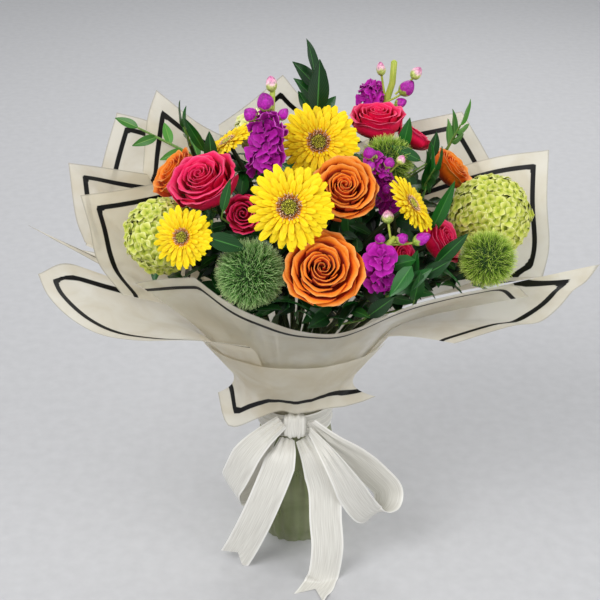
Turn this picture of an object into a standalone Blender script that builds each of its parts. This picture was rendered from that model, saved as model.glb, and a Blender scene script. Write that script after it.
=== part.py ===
"""Hand-tied bouquet of roses, gerberas, hydrangeas, green dianthus and stock in frosted film.

The bouquet stands upright on its cut stem ends. The origin is on the surface that it stands on,
in the middle of the stems. +Z is up, and the bow faces -Y. All lengths are in metres.
"""

import math
import random

import bmesh
import bpy
import numpy as np
from mathutils import Matrix, Vector

# Driving dimensions of the bundle, the film and the ribbon
TIE_HEIGHT = 0.168
STEM_RADIUS = 0.0028
STEM_SPACING = 0.0044
STEM_SIDES = 4
FOOT_SPREAD = 1.35
FOOT_TWIST = 28.0
BUNDLE_RADIUS = 0.0285
TIE_WALL = 0.0036
TIE_WIDTH = 0.012
ROUND_COLUMNS = 20
GAP = 0.0003

FILM = 0.0008
INNER_LAYER_RADIUS = 0.0331
NECK_STEP = 0.0014
NECK_LOW = 0.150
NECK_TOP = 0.185
SHOULDER_RADIUS = 0.100
SHOULDER_STEP = 0.0045
SHOULDER_HEIGHT = 0.300
SHOULDER_LEAD = 0.020

RIBBON = 0.038
RIBBON_THICKNESS = 0.0008
BAND_RADIUS = 0.0428
BAND_LOW = 0.155
BAND_HIGH = 0.183

# Cups of a rose, in radii: groove inside them and its height, inner edge, outer edge, height
ROSE_BUD = (0.10, 0.38)
ROSE_CUPS = (
    (0.13, 0.20, 0.21, 0.26, 0.38),
    (0.30, 0.14, 0.41, 0.47, 0.34),
    (0.50, 0.06, 0.66, 0.73, 0.29),
    (0.70, -0.05, 0.93, 1.00, 0.12),
)
ROSE_DEPTH = 0.50
ROSE_UNDERSIDE = ((0.62, -0.20), (0.30, -0.42), (0.12, -ROSE_DEPTH))
SMALL_ROSE = 0.033
FULL_ROSE = 0.040
PETAL_REACH = (0.94, 1.03, 1.06)
PETAL_RISE = (-0.05, 0.03, 0.0)

GERBERA_PETALS = 16
GERBERA_DISC = 0.32
GERBERA_DEPTH = 0.007
GERBERA_THICKNESS = 0.0009
PETAL_OVERLAP = 1.12
PETAL_RIDGE = 0.0012

# Seat of a round head: how far behind its middle it reaches, in radii, and its two radii
CALYX_REACH = 1.14
CALYX_RADII = (0.0035, 0.0060)
HEAD_CORE = 0.84
FLORET_COVER = 1.66
STOCK_CORE = 0.55
STOCK_FOOT = 0.35

LEAF_THICKNESS = 0.0009
LEAF_RIM_LIFT = 0.0012
LEAF_DROOP = 0.12
LEAF_SWING = 48.0

# Colours from the photograph, as linear red, green and blue
ORANGE = (0.80, 0.21, 0.03)
PINK = (0.72, 0.02, 0.11)
YELLOW = (0.90, 0.62, 0.02)
EYE = (0.35, 0.30, 0.05)
LIME = (0.62, 0.66, 0.16)
PALE_LIME = (0.72, 0.74, 0.34)
GRASS = (0.12, 0.25, 0.03)
PURPLE = (0.32, 0.02, 0.30)
SHOOT = (0.36, 0.46, 0.12)
LEAF_DARK = (0.02, 0.09, 0.02)
LEAF_MID = (0.06, 0.20, 0.03)
STEM = (0.14, 0.27, 0.08)
TWINE = (0.45, 0.36, 0.22)
FROSTED = (0.86, 0.87, 0.84)
IVORY = (0.88, 0.86, 0.82)

# Name, middle, radius, lean from upright and the side it leans to: 0 is the front, 90 the right
ROSES = (
    ("rose_orange_front", ORANGE, (0.028, -0.150, 0.420), 0.046, 52, 5),
    ("rose_orange_centre", ORANGE, (0.051, -0.088, 0.484), 0.041, 46, 8),
    ("rose_orange_left", ORANGE, (-0.130, -0.006, 0.470), 0.034, 48, -75),
    ("rose_orange_right", ORANGE, (0.176, 0.034, 0.460), 0.030, 45, 80),
    ("rose_pink_left", PINK, (-0.095, -0.070, 0.484), 0.043, 30, -40),
    ("rose_pink_centre", PINK, (-0.052, -0.092, 0.458), 0.024, 60, -15),
    ("rose_pink_top", PINK, (0.092, 0.038, 0.516), 0.037, 6, 20),
    ("rose_pink_right", PINK, (0.156, -0.075, 0.421), 0.031, 55, 65),
    ("rose_pink_low", PINK, (0.112, -0.088, 0.410), 0.021, 60, 45),
    ("rose_pink_back", PINK, (0.137, 0.060, 0.488), 0.024, 35, 110),
)
GERBERAS = (
    ("gerbera_front", (-0.005, -0.143, 0.487), 0.043, 62, -3),
    ("gerbera_top", (0.026, -0.028, 0.516), 0.042, 58, 0),
    ("gerbera_left", (-0.117, -0.122, 0.445), 0.032, 60, -20),
    ("gerbera_right", (0.124, -0.098, 0.473), 0.033, 50, 75),
    ("gerbera_back", (-0.074, 0.004, 0.506), 0.032, 30, -90),
)
HYDRANGEAS = (
    ("hydrangea_right", LIME, (0.217, -0.022, 0.428), 0.046, 50, 78, 24),
    ("hydrangea_left", LIME, (-0.142, -0.072, 0.425), 0.041, 50, -64, 20),
    ("hydrangea_back", PALE_LIME, (-0.042, 0.046, 0.502), 0.025, 30, -140, 11),
)
GREEN_BALLS = (
    ("green_dianthus_front", (-0.046, -0.118, 0.401), 0.037, 58, -20, 80),
    ("green_dianthus_right", (0.204, -0.108, 0.414), 0.031, 55, 65, 60),
    ("green_dianthus_back", (0.101, -0.016, 0.489), 0.0295, 40, 60, 60),
)
# Name, foot and top of the flowering stretch, radius of a floret and number of florets
STOCKS = (
    ("stock_left", (-0.030, -0.064, 0.500), (-0.027, -0.060, 0.545), 0.015, 9),
    ("stock_top", (0.090, 0.093, 0.512), (0.088, 0.092, 0.536), 0.012, 6),
    ("stock_centre", (0.104, -0.058, 0.450), (0.087, -0.058, 0.506), 0.010, 9),
    ("stock_right", (0.086, -0.124, 0.392), (0.090, -0.138, 0.430), 0.013, 8),
)
# Name, root and tip of the green shoot above a stock, and its buds as place and length
STOCK_SHOOTS = (
    ("stock_shoot_left", (-0.027, -0.056, 0.560), (-0.024, -0.044, 0.588), (
        ((-0.034, -0.052, 0.572), 0.014),
        ((-0.045, -0.052, 0.558), 0.012),
        ((-0.012, -0.052, 0.559), 0.012),
    )),
    ("stock_shoot_top", (0.0919, 0.0914, 0.5444), (0.115, 0.090, 0.568), (
        ((0.096, 0.090, 0.566), 0.011),
        ((0.136, 0.088, 0.556), 0.012),
        ((0.126, 0.088, 0.541), 0.012),
    )),
)
# Name, colour, root and tip of the sprig, leaf length, leaf width, number of leaves
SPRIGS = (
    ("ruscus_left", LEAF_MID, (-0.100, 0.034, 0.470), (-0.178, 0.056, 0.503), 0.030, 0.010, 5),
    ("foliage_left_back", LEAF_DARK, (-0.116, 0.022, 0.494), (-0.122, 0.016, 0.518), 0.034, 0.013, 3),
    ("foliage_top", LEAF_DARK, (0.026, 0.050, 0.520), (0.022, 0.064, 0.562), 0.042, 0.016, 5),
    ("ruscus_right", LEAF_MID, (0.176, 0.076, 0.470), (0.190, 0.074, 0.500), 0.034, 0.010, 5),
    ("foliage_right", LEAF_DARK, (0.142, -0.010, 0.455), (0.152, -0.030, 0.486), 0.040, 0.015, 5),
    ("foliage_front", LEAF_DARK, (0.090, -0.112, 0.372), (0.134, -0.128, 0.404), 0.036, 0.014, 5),
    ("foliage_centre", LEAF_DARK, (-0.085, -0.092, 0.432), (-0.086, -0.108, 0.446), 0.032, 0.012, 3),
)
# Name, layer counted from the inside, and the points of the free edge round the bouquet
SHEETS = (
    ("film_left_inner", 0, (
        (-0.190, -0.066, 0.352), (-0.220, -0.030, 0.375), (-0.229, -0.015, 0.411),
        (-0.239, 0.000, 0.443), (-0.196, 0.008, 0.446), (-0.157, 0.016, 0.451),
        (-0.124, 0.024, 0.457),
    )),
    ("film_left", 1, (
        (-0.238, 0.000, 0.386), (-0.249, 0.015, 0.412), (-0.256, 0.036, 0.468),
        (-0.222, 0.062, 0.453), (-0.173, 0.080, 0.438),
    )),
    ("film_back_left", 2, (
        (-0.178, 0.084, 0.440), (-0.170, 0.084, 0.503), (-0.159, 0.095, 0.535),
        (-0.114, 0.105, 0.493), (-0.077, 0.108, 0.471), (-0.052, 0.110, 0.455),
    )),
    ("film_back_left_outer", 3, (
        (-0.242, 0.028, 0.370), (-0.225, 0.078, 0.448), (-0.208, 0.110, 0.503),
        (-0.173, 0.122, 0.489), (-0.141, 0.130, 0.471), (-0.118, 0.133, 0.456),
    )),
    ("film_back", 3, (
        (-0.090, 0.118, 0.485), (-0.055, 0.124, 0.509), (-0.014, 0.128, 0.543),
        (0.013, 0.130, 0.512), (0.061, 0.132, 0.488), (0.099, 0.130, 0.465),
    )),
    ("film_back_right", 2, (
        (0.068, 0.120, 0.458), (0.127, 0.122, 0.484), (0.161, 0.116, 0.495),
        (0.195, 0.108, 0.505), (0.225, 0.096, 0.457), (0.246, 0.082, 0.418),
        (0.256, 0.068, 0.378),
    )),
    ("film_right", 1, (
        (0.118, 0.082, 0.420), (0.221, 0.070, 0.460), (0.291, 0.060, 0.475),
        (0.289, 0.035, 0.423), (0.290, 0.005, 0.380), (0.281, -0.020, 0.352),
        (0.215, -0.040, 0.360),
    )),
    ("film_left_tip", 4, (
        (-0.215, 0.045, 0.350), (-0.262, 0.040, 0.362), (-0.290, 0.015, 0.392),
        (-0.297, -0.015, 0.413), (-0.185, -0.024, 0.348),
    )),
    ("film_front_left", 5, (
        (-0.190, -0.010, 0.330), (-0.252, -0.022, 0.369), (-0.285, -0.045, 0.367),
        (-0.269, -0.078, 0.356), (-0.241, -0.106, 0.342), (-0.205, -0.128, 0.334),
        (-0.163, -0.143, 0.335), (-0.108, -0.152, 0.340), (-0.052, -0.156, 0.336),
    )),
    ("film_front", 4, (
        (-0.169, -0.108, 0.386), (-0.135, -0.132, 0.402), (-0.103, -0.148, 0.411),
        (-0.068, -0.160, 0.388), (-0.035, -0.165, 0.373), (0.006, -0.168, 0.359),
        (0.053, -0.166, 0.357), (0.119, -0.160, 0.384), (0.161, -0.152, 0.392),
        (0.204, -0.140, 0.395), (0.232, -0.126, 0.391), (0.249, -0.112, 0.372),
    )),
    ("film_front_right", 5, (
        (0.170, -0.140, 0.330), (0.232, -0.112, 0.336), (0.266, -0.100, 0.335),
        (0.287, -0.090, 0.347), (0.304, -0.076, 0.361), (0.320, -0.066, 0.368),
        (0.336, -0.052, 0.382), (0.260, -0.030, 0.345),
    )),
)
# The collar round the lower cone: side it faces, radius and height of its lower edge
COLLAR_LAYER = 5.8
COLLAR_TOP = 0.285
COLLAR_MIDDLE = 0.240
COLLAR_EDGE = (
    (196, 0.094, 0.205), (206, 0.092, 0.176), (214, 0.086, 0.171), (232, 0.071, 0.187),
    (254, 0.062, 0.200), (269, 0.062, 0.197), (286, 0.066, 0.201), (303, 0.075, 0.205),
    (320, 0.092, 0.209), (332, 0.105, 0.213),
)
# Height and radius of the film round the stems below the ribbon
SLEEVE = (
    (0.000, 0.0370), (0.020, 0.0460), (0.065, 0.0530), (0.153, 0.0422), (0.172, 0.0422),
)

# Ribbon loops and tails: places along the middle line, each with the direction across the ribbon
LOOP_LEFT = (
    ((-0.0152, -0.0610, 0.186), (0.20, -0.62, -0.76)), ((-0.038, -0.071, 0.170), (0.60, -0.60, -0.50)),
    ((-0.056, -0.073, 0.148), (0.64, -0.62, -0.45)), ((-0.069, -0.067, 0.118), (0.64, -0.66, -0.38)),
    ((-0.076, -0.057, 0.096), (0.55, -0.75, -0.35)), ((-0.069, -0.048, 0.080), (0.50, -0.72, -0.48)),
    ((-0.055, -0.044, 0.084), (0.55, -0.66, -0.50)), ((-0.043, -0.045, 0.109), (0.62, -0.62, -0.48)),
    ((-0.034, -0.046, 0.147), (0.50, -0.60, -0.62)), ((-0.0180, -0.056, 0.178), (0.20, -0.84, -0.45)),
)
LOOP_RIGHT = (
    ((0.0184, -0.061, 0.186), (0.22, -0.62, 0.76)), ((0.041, -0.063, 0.161), (0.74, -0.20, 0.62)),
    ((0.067, -0.056, 0.136), (0.78, -0.10, 0.60)), ((0.094, -0.052, 0.107), (0.80, -0.14, 0.58)),
    ((0.111, -0.055, 0.087), (0.84, -0.24, 0.48)), ((0.107, -0.067, 0.071), (0.84, -0.10, 0.52)),
    ((0.090, -0.080, 0.069), (0.82, -0.04, 0.56)), ((0.073, -0.091, 0.096), (0.80, -0.10, 0.58)),
    ((0.059, -0.096, 0.126), (0.78, -0.14, 0.60)), ((0.042, -0.090, 0.153), (0.70, -0.26, 0.64)),
    ((0.0182, -0.062, 0.175), (0.25, -0.72, 0.62)),
)
TAIL_LEFT = (
    ((-0.009, -0.0600, 0.1628), (1.0, 0.0, 0.0)), ((-0.015, -0.078, 0.148), (0.96, -0.10, 0.26)),
    ((-0.027, -0.087, 0.117), (0.92, -0.16, 0.34)), ((-0.044, -0.089, 0.073), (0.90, -0.24, 0.34)),
    ((-0.062, -0.083, 0.029), (0.86, -0.36, 0.30)), ((-0.075, -0.0765, 0.0006), (0.84, -0.50, 0.20)),
)
TAIL_RIGHT = (
    ((0.009, -0.0600, 0.1628), (1.0, 0.0, 0.0)), ((0.023, -0.075, 0.142), (0.98, 0.0, -0.14)),
    ((0.034, -0.083, 0.110), (1.0, 0.0, -0.10)), ((0.036, -0.096, 0.073), (1.0, 0.06, 0.0)),
    ((0.038, -0.107, 0.038), (1.0, 0.16, 0.0)), ((0.031, -0.118, 0.0008), (0.95, 0.30, 0.0)),
    ((0.016, -0.148, 0.0005), (0.90, 0.40, 0.0)),
)
NOTCH = 0.018
KNOT_SIZE = (0.028, 0.020, 0.030)
KNOT_MIDDLE = (0.0, -0.0560, 0.178)
KNOT_LEAN = -14.0
KNOT_ROUND = 0.006


def clear_scene():
    for old in list(bpy.data.objects):
        bpy.data.objects.remove(old, do_unlink=True)


def finish_object(name, mesh, colour, roughness=0.6, metallic=0.0):
    """Give a mesh its object, its material and the bouquet as parent."""
    material = bpy.data.materials.new(name)
    material.use_nodes = True
    surface = material.node_tree.nodes["Principled BSDF"]
    surface.inputs["Base Color"].default_value = (*colour, 1.0)
    surface.inputs["Roughness"].default_value = roughness
    surface.inputs["Metallic"].default_value = metallic
    mesh.materials.clear()
    mesh.materials.append(material)
    mesh.shade_smooth()
    mesh.set_sharp_from_angle(angle=math.radians(40))
    part = bpy.data.objects.new(name, mesh)
    bpy.context.scene.collection.objects.link(part)
    part.parent = BOUQUET
    return part


def mesh_from(name, vertices, faces):
    """Make a closed mesh whose faces point out."""
    mesh = bpy.data.meshes.new(name)
    mesh.from_pydata([tuple(v) for v in vertices], [], faces)
    shape = bmesh.new()
    shape.from_mesh(mesh)
    bmesh.ops.remove_doubles(shape, verts=shape.verts, dist=1e-6)
    bmesh.ops.triangulate(shape, faces=shape.faces)
    bmesh.ops.recalc_face_normals(shape, faces=shape.faces)
    shape.to_mesh(mesh)
    shape.free()
    return mesh


def mesh_from_bmesh(name, shape):
    mesh = bpy.data.meshes.new(name)
    bmesh.ops.triangulate(shape, faces=shape.faces)
    shape.to_mesh(mesh)
    shape.free()
    return mesh


def fuse(name, core, repeats, solver="EXACT"):
    """Join a core mesh and its repeats, given as mesh and matrix, in one closed mesh."""
    group = bpy.data.collections.new(name)
    bpy.context.scene.collection.children.link(group)
    for mesh, matrix in repeats:
        item = bpy.data.objects.new(name, mesh)
        item.matrix_world = matrix
        group.objects.link(item)
    body = bpy.data.objects.new(name, core)
    bpy.context.scene.collection.objects.link(body)
    union = body.modifiers.new("union", "BOOLEAN")
    union.operation = "UNION"
    union.operand_type = "COLLECTION"
    union.collection = group
    union.solver = solver
    bpy.context.view_layer.update()
    evaluated = body.evaluated_get(bpy.context.evaluated_depsgraph_get())
    joined = bpy.data.meshes.new_from_object(evaluated)
    for item in list(group.objects):
        bpy.data.objects.remove(item, do_unlink=True)
    bpy.data.objects.remove(body, do_unlink=True)
    bpy.data.collections.remove(group)
    return tidy_mesh(joined)


def tidy_mesh(mesh):
    """Weld slivers and drop loose scraps, so that one closed body is left."""
    shape = bmesh.new()
    shape.from_mesh(mesh)
    bmesh.ops.remove_doubles(shape, verts=shape.verts, dist=2e-6)
    bmesh.ops.dissolve_degenerate(shape, edges=shape.edges, dist=1e-6)
    bmesh.ops.triangulate(shape, faces=shape.faces)
    keep_largest(shape)
    shape.to_mesh(mesh)
    shape.free()
    return mesh


def keep_largest(shape):
    unseen = set(shape.verts)
    islands = []
    while unseen:
        stack = [unseen.pop()]
        island = set(stack)
        while stack:
            for edge in stack.pop().link_edges:
                for vertex in edge.verts:
                    if vertex in unseen:
                        unseen.discard(vertex)
                        island.add(vertex)
                        stack.append(vertex)
        islands.append(island)
    islands.sort(key=len)
    scraps = [vertex for island in islands[:-1] for vertex in island]
    bmesh.ops.delete(shape, geom=scraps, context="VERTS")


def facing(lean, side):
    """Direction that leans from upright by an angle, towards a side (degrees)."""
    lean, side = math.radians(lean), math.radians(side)
    return Vector((math.sin(lean) * math.sin(side), -math.sin(lean) * math.cos(side), math.cos(lean)))


def aim(axis, up=Vector((0, 0, 1))):
    """Rotation whose Z is the axis and whose Y is as near to up as it can be."""
    z = axis.normalized()
    x = up.cross(z)
    if x.length < 1e-4:
        x = Vector((1, 0, 0))
    x.normalize()
    y = z.cross(x)
    return Matrix((x, y, z)).transposed().to_4x4()


def place(part, middle, axis, spin=0.0):
    part.location = middle
    part.rotation_euler = (aim(axis) @ Matrix.Rotation(math.radians(spin), 4, "Z")).to_euler()
    return part


def fibonacci(count):
    """Directions spread evenly over a ball."""
    golden = math.pi * (3 - math.sqrt(5))
    for i in range(count):
        z = 1 - (2 * i + 1) / count
        r = math.sqrt(1 - z * z)
        yield Vector((r * math.cos(golden * i), r * math.sin(golden * i), z))


def rose_mesh(name, radius):
    """Nested cups of five petals, raised from one turned surface."""
    small = radius < SMALL_ROSE
    columns = 15 if radius > FULL_ROSE else 12
    rings = [(0.24 if small else ROSE_BUD[0], ROSE_BUD[1], None)]
    cups = ROSE_CUPS[1:] if small else ROSE_CUPS
    for number, (groove, depth, inner, outer, height) in enumerate(cups):
        rings.append((groove, depth, None))
        rings.append((inner, height, number))
        rings.append((outer, height - 0.02, number))
    rings += [(r, z, None) for r, z in ROSE_UNDERSIDE]
    vertices = [(0, 0, 0.36 * radius)]
    for reach, height, cup in rings:
        for column in range(columns):
            angle = 2 * math.pi * column / columns
            wide, rise = 1.0, 0.0
            if cup is not None:
                phase = (column + 2 * cup) % 3
                wide, rise = PETAL_REACH[phase], PETAL_RISE[phase]
            r = reach * wide * radius
            vertices.append((r * math.cos(angle), r * math.sin(angle), (height + rise) * radius))
    vertices.append((0, 0, -ROSE_DEPTH * radius))
    return mesh_from(name, vertices, turned_faces(len(rings), columns))


def turned_faces(rings, columns):
    """Faces of a turned surface with a pole at each end."""
    last = 1 + rings * columns
    faces = []
    for c in range(columns):
        n = (c + 1) % columns
        faces.append((0, 1 + c, 1 + n))
        faces.append((last, last - columns + n, last - columns + c))
        for r in range(rings - 1):
            a = 1 + r * columns
            faces.append((a + c, a + columns + c, a + columns + n, a + n))
    return faces


def petal_mesh(name, length, width, root):
    """One ray petal along +X: six edge points round a raised middle, the same on both faces."""
    half = GERBERA_THICKNESS / 2
    outline = (
        (root, -0.16 * width), (0.66 * length, -0.5 * width), (length, -0.24 * width),
        (length, 0.24 * width), (0.66 * length, 0.5 * width), (root, 0.16 * width),
    )
    count = len(outline)
    top = [(x, y, half) for x, y in outline] + [(0.62 * length, 0, half + PETAL_RIDGE)]
    low = [(x, y, z - 2 * half) for x, y, z in top]
    faces = []
    for i in range(count):
        n = (i + 1) % count
        faces.append((i, n, count))
        faces.append((count + 1 + n, count + 1 + i, 2 * count + 1))
        faces.append((i, count + 1 + i, count + 1 + n, n))
    return mesh_from(name, top + low, faces)


def gerbera(name, middle, radius, lean, side):
    """A ring of ray petals on a disc, and the eye in its middle."""
    disc_radius = GERBERA_DISC * radius
    disc = bmesh.new()
    bmesh.ops.create_cone(
        disc, cap_ends=True, segments=10, radius1=0.5 * disc_radius, radius2=disc_radius,
        depth=GERBERA_DEPTH, matrix=Matrix.Translation((0, 0, -GERBERA_DEPTH / 2)),
    )
    width = PETAL_OVERLAP * 2 * math.pi * 0.66 * radius / GERBERA_PETALS
    petal = petal_mesh(name, radius, width, 0.84 * disc_radius)
    repeats = []
    for i in range(GERBERA_PETALS):
        turn = Matrix.Rotation(2 * math.pi * i / GERBERA_PETALS, 4, "Z")
        tilt = Matrix.Rotation(math.radians(-9 if i % 2 else -2), 4, "Y")
        drop = Matrix.Translation((0, 0, -0.0034 if i % 2 else -0.0046))
        repeats.append((petal, turn @ drop @ tilt))
    petals = finish_object(name, fuse(name, mesh_from_bmesh(name, disc), repeats), YELLOW)
    place(petals, middle, facing(lean, side), 4)

    eye_name = name.replace("gerbera", "gerbera_eye")
    rings = ((0.40, 1.3), (0.72, 0.7), (0.90, 1.4), (0.96, 0.0))
    columns = 9
    vertices = [(0, 0, 0.0022)]
    for number, (reach, height) in enumerate(rings):
        for c in range(columns):
            angle = 2 * math.pi * (c + 0.5 * (number % 2)) / columns
            r = reach * disc_radius
            vertices.append((r * math.cos(angle), r * math.sin(angle), 0.002 * height))
    vertices.append((0, 0, 0))
    eye = finish_object(eye_name, mesh_from(eye_name, vertices, turned_faces(len(rings), columns)), EYE)
    place(eye, Vector(middle) + facing(lean, side) * GAP, facing(lean, side))


def fan_floret(name, radius, lobes, depth, crumple, rng):
    """A floret as two fans over one lobed edge: a dimple in front and a root behind."""
    count = 2 * lobes
    vertices = []
    for i in range(count):
        angle = 2 * math.pi * i / count
        reach = radius * (1.0 if i % 2 == 0 else 0.62)
        lift = rng.uniform(-crumple, crumple) if crumple else (0.0 if i % 2 == 0 else -0.08 * radius)
        vertices.append((reach * math.cos(angle), reach * math.sin(angle), lift))
    vertices.append((0, 0, -0.12 * radius))
    vertices.append((0, 0, -depth))
    faces = []
    for i in range(count):
        n = (i + 1) % count
        faces.append((i, n, count))
        faces.append((n, i, count + 1))
    return mesh_from(name, vertices, faces)


def calyx(name, radius):
    """The green seat under a round head, where its stem meets it."""
    shape = bmesh.new()
    low, high = -CALYX_REACH * radius, -0.6 * radius
    bmesh.ops.create_cone(
        shape, cap_ends=True, segments=6, radius1=CALYX_RADII[0], radius2=CALYX_RADII[1],
        depth=high - low, matrix=Matrix.Translation((0, 0, (low + high) / 2)),
    )
    return mesh_from_bmesh(name, shape), Matrix.Identity(4)


def hydrangea(name, colour, middle, radius, lean, side, count):
    """A ball core that four-petalled florets stand out of."""
    rng = random.Random(11)
    core = bmesh.new()
    bmesh.ops.create_icosphere(core, subdivisions=2, radius=HEAD_CORE * radius)
    floret_radius = FLORET_COVER * radius / math.sqrt(count)
    floret = fan_floret(name, floret_radius, 4, 0.36 * radius, 0.0, rng)
    repeats = []
    for direction in fibonacci(count):
        lift = Matrix.Translation(direction * radius * rng.uniform(0.93, 1.0))
        repeats.append((floret, lift @ aim(direction) @ Matrix.Rotation(rng.uniform(0, 1.5), 4, "Z")))
    repeats.append(calyx(name, radius))
    body = finish_object(name, fuse(name, mesh_from_bmesh(name, core), repeats), colour)
    place(body, middle, facing(lean, side))


def green_ball(name, middle, radius, lean, side, count):
    """A ball whose every facet is drawn out to a leaning spike."""
    rng = random.Random(count)
    shape = bmesh.new()
    for direction in fibonacci(count):
        shape.verts.new(direction * 0.86 * radius)
    bmesh.ops.convex_hull(shape, input=shape.verts)
    poked = bmesh.ops.poke(shape, faces=shape.faces)
    for tip in poked["verts"]:
        way = tip.co.normalized()
        sway = Vector((rng.uniform(-1, 1), rng.uniform(-1, 1), rng.uniform(-1, 1))) * 0.10
        tip.co = way * radius * rng.uniform(0.96, 1.06) + sway * radius
    bmesh.ops.recalc_face_normals(shape, faces=shape.faces)
    ball = fuse(name, mesh_from_bmesh(name, shape), [calyx(name, radius)])
    body = finish_object(name, ball, GRASS, 0.8)
    place(body, middle, facing(lean, side))


def stock(name, foot, top, floret_radius, count):
    """Crumpled florets round a slim core that follows the stalk."""
    rng = random.Random(count)
    foot, top = Vector(foot), Vector(top)
    axis = top - foot
    core = bmesh.new()
    bmesh.ops.create_icosphere(core, subdivisions=1, radius=1.0)
    for vertex in core.verts:
        vertex.co.x *= STOCK_CORE * floret_radius
        vertex.co.y *= STOCK_CORE * floret_radius
        vertex.co.z *= 0.5 * axis.length + STOCK_FOOT * floret_radius
    repeats = []
    for i in range(count):
        share = (i + 0.5) / count
        angle = 2.4 * i
        up = 0.25 + 0.9 * share
        way = Vector((math.cos(angle), math.sin(angle), up)).normalized()
        spot = Vector((0, 0, (share - 0.5) * axis.length)) + way * floret_radius * 0.85
        floret = fan_floret(name, floret_radius, 4, 0.95 * floret_radius, 0.22 * floret_radius, rng)
        repeats.append((floret, Matrix.Translation(spot) @ aim(way)))
    body = finish_object(name, fuse(name, mesh_from_bmesh(name, core), repeats), PURPLE)
    place(body, (foot + top) / 2, axis)


def tube_mesh(name, points, radii, sides, first_way=None, last_way=None):
    """A tube round a line of points; its ends are cut square to the given ways."""
    points = [Vector(p) for p in points]
    vertices = []
    side = Vector((1, 0, 0))
    for i, point in enumerate(points):
        before = points[max(i - 1, 0)]
        after = points[min(i + 1, len(points) - 1)]
        along = (after - before).normalized()
        if i == 0 and first_way:
            along = first_way
        if i == len(points) - 1 and last_way:
            along = last_way
        side = (side - along * side.dot(along)).normalized()
        other = along.cross(side)
        for k in range(sides):
            angle = 2 * math.pi * k / sides
            vertices.append(point + (side * math.cos(angle) + other * math.sin(angle)) * radii[i])
    faces = [tuple(range(sides)), tuple(len(vertices) - sides + k for k in range(sides))]
    for i in range(len(points) - 1):
        for k in range(sides):
            n = (k + 1) % sides
            a = i * sides
            faces.append((a + k, a + n, a + sides + n, a + sides + k))
    return mesh_from(name, vertices, faces)


def bud_mesh(name, length):
    """A small pointed bud along +Z, sunk on its stalk."""
    shape = bmesh.new()
    bmesh.ops.create_icosphere(shape, subdivisions=1, radius=1.0)
    for vertex in shape.verts:
        vertex.co.x *= 0.38 * length
        vertex.co.y *= 0.38 * length
        vertex.co.z *= 0.55 * length
    return mesh_from_bmesh(name, shape)


def stock_shoot(name, root, tip, buds):
    """The green end of a stock's stalk, with its buds on short stalks."""
    root, tip = Vector(root), Vector(tip)
    bend = (root + tip) / 2 + Vector((0, 0, 0.004))
    stalk = tube_mesh(name, (root, bend, tip), (0.0026, 0.0024, 0.0018), 6)
    repeats = [(bud_mesh(name, 0.012), Matrix.Translation(tip) @ aim(tip - bend))]
    for spot, length in buds:
        spot = Vector(spot)
        start = root.lerp(tip, 0.15)
        side_stalk = tube_mesh(name, (start, start.lerp(spot, 0.6), spot), (0.0012, 0.0012, 0.0010), 5)
        repeats.append((side_stalk, Matrix.Identity(4)))
        repeats.append((bud_mesh(name, length), Matrix.Translation(spot) @ aim(spot - start)))
    finish_object(name, fuse(name, stalk, repeats), SHOOT)


def leaf_mesh(name, length, width, droop):
    """A pointed leaf along +Y with a raised rib, the same on both faces."""
    half = LEAF_THICKNESS / 2
    stations = ((0.32, 0.46, 0.0), (0.66, 0.38, 0.35))
    top = [(0, 0, half)]
    for along, reach, bend in stations:
        sag = -droop * length * bend
        top.append((-reach * width, along * length, sag + half + LEAF_RIM_LIFT))
        top.append((0, along * length, sag + half))
        top.append((reach * width, along * length, sag + half + LEAF_RIM_LIFT))
    top.append((0, length, -droop * length + half))
    low = [(x, y, z - 2 * half) for x, y, z in top]
    upper = ((0, 2, 1), (0, 3, 2), (1, 2, 5), (1, 5, 4), (2, 3, 5), (3, 6, 5), (4, 5, 7), (5, 6, 7))
    rim = (0, 3, 6, 7, 4, 1)
    faces = list(upper) + [tuple(8 + i for i in reversed(face)) for face in upper]
    for i, a in enumerate(rim):
        b = rim[(i + 1) % len(rim)]
        faces.append((a, b, 8 + b, 8 + a))
    return mesh_from(name, top + low, faces)


def sprig(name, colour, root, tip, leaf_length, leaf_width, count):
    """A thin stalk with leaves to either side and one at its end."""
    root, tip = Vector(root), Vector(tip)
    along = (tip - root).normalized()
    outward = Vector((tip.x, tip.y - 0.05, 0.12)).normalized()
    across = along.cross(outward).normalized()
    normal = across.cross(along)
    stalk = tube_mesh(name, (root, root.lerp(tip, 0.5), tip), (0.0018, 0.0016, 0.0012), 5)
    leaf = leaf_mesh(name, leaf_length, leaf_width, LEAF_DROOP)
    repeats = []
    for i in range(count):
        last = i == count - 1
        share = 1.0 if last else (i + 0.6) / count
        swing = 0.0 if last else (LEAF_SWING if i % 2 else -LEAF_SWING)
        way = Matrix.Rotation(math.radians(swing), 3, normal) @ along
        lifted = Matrix.Rotation(math.radians(16 - 8 * (i % 3)), 3, across) @ normal
        x = way.cross(lifted).normalized()
        turn = Matrix((x, way, x.cross(way))).transposed().to_4x4()
        repeats.append((leaf, Matrix.Translation(root.lerp(tip, share) - way * 0.001) @ turn))
    finish_object(name, fuse(name, stalk, repeats), colour, 0.45)


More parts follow.
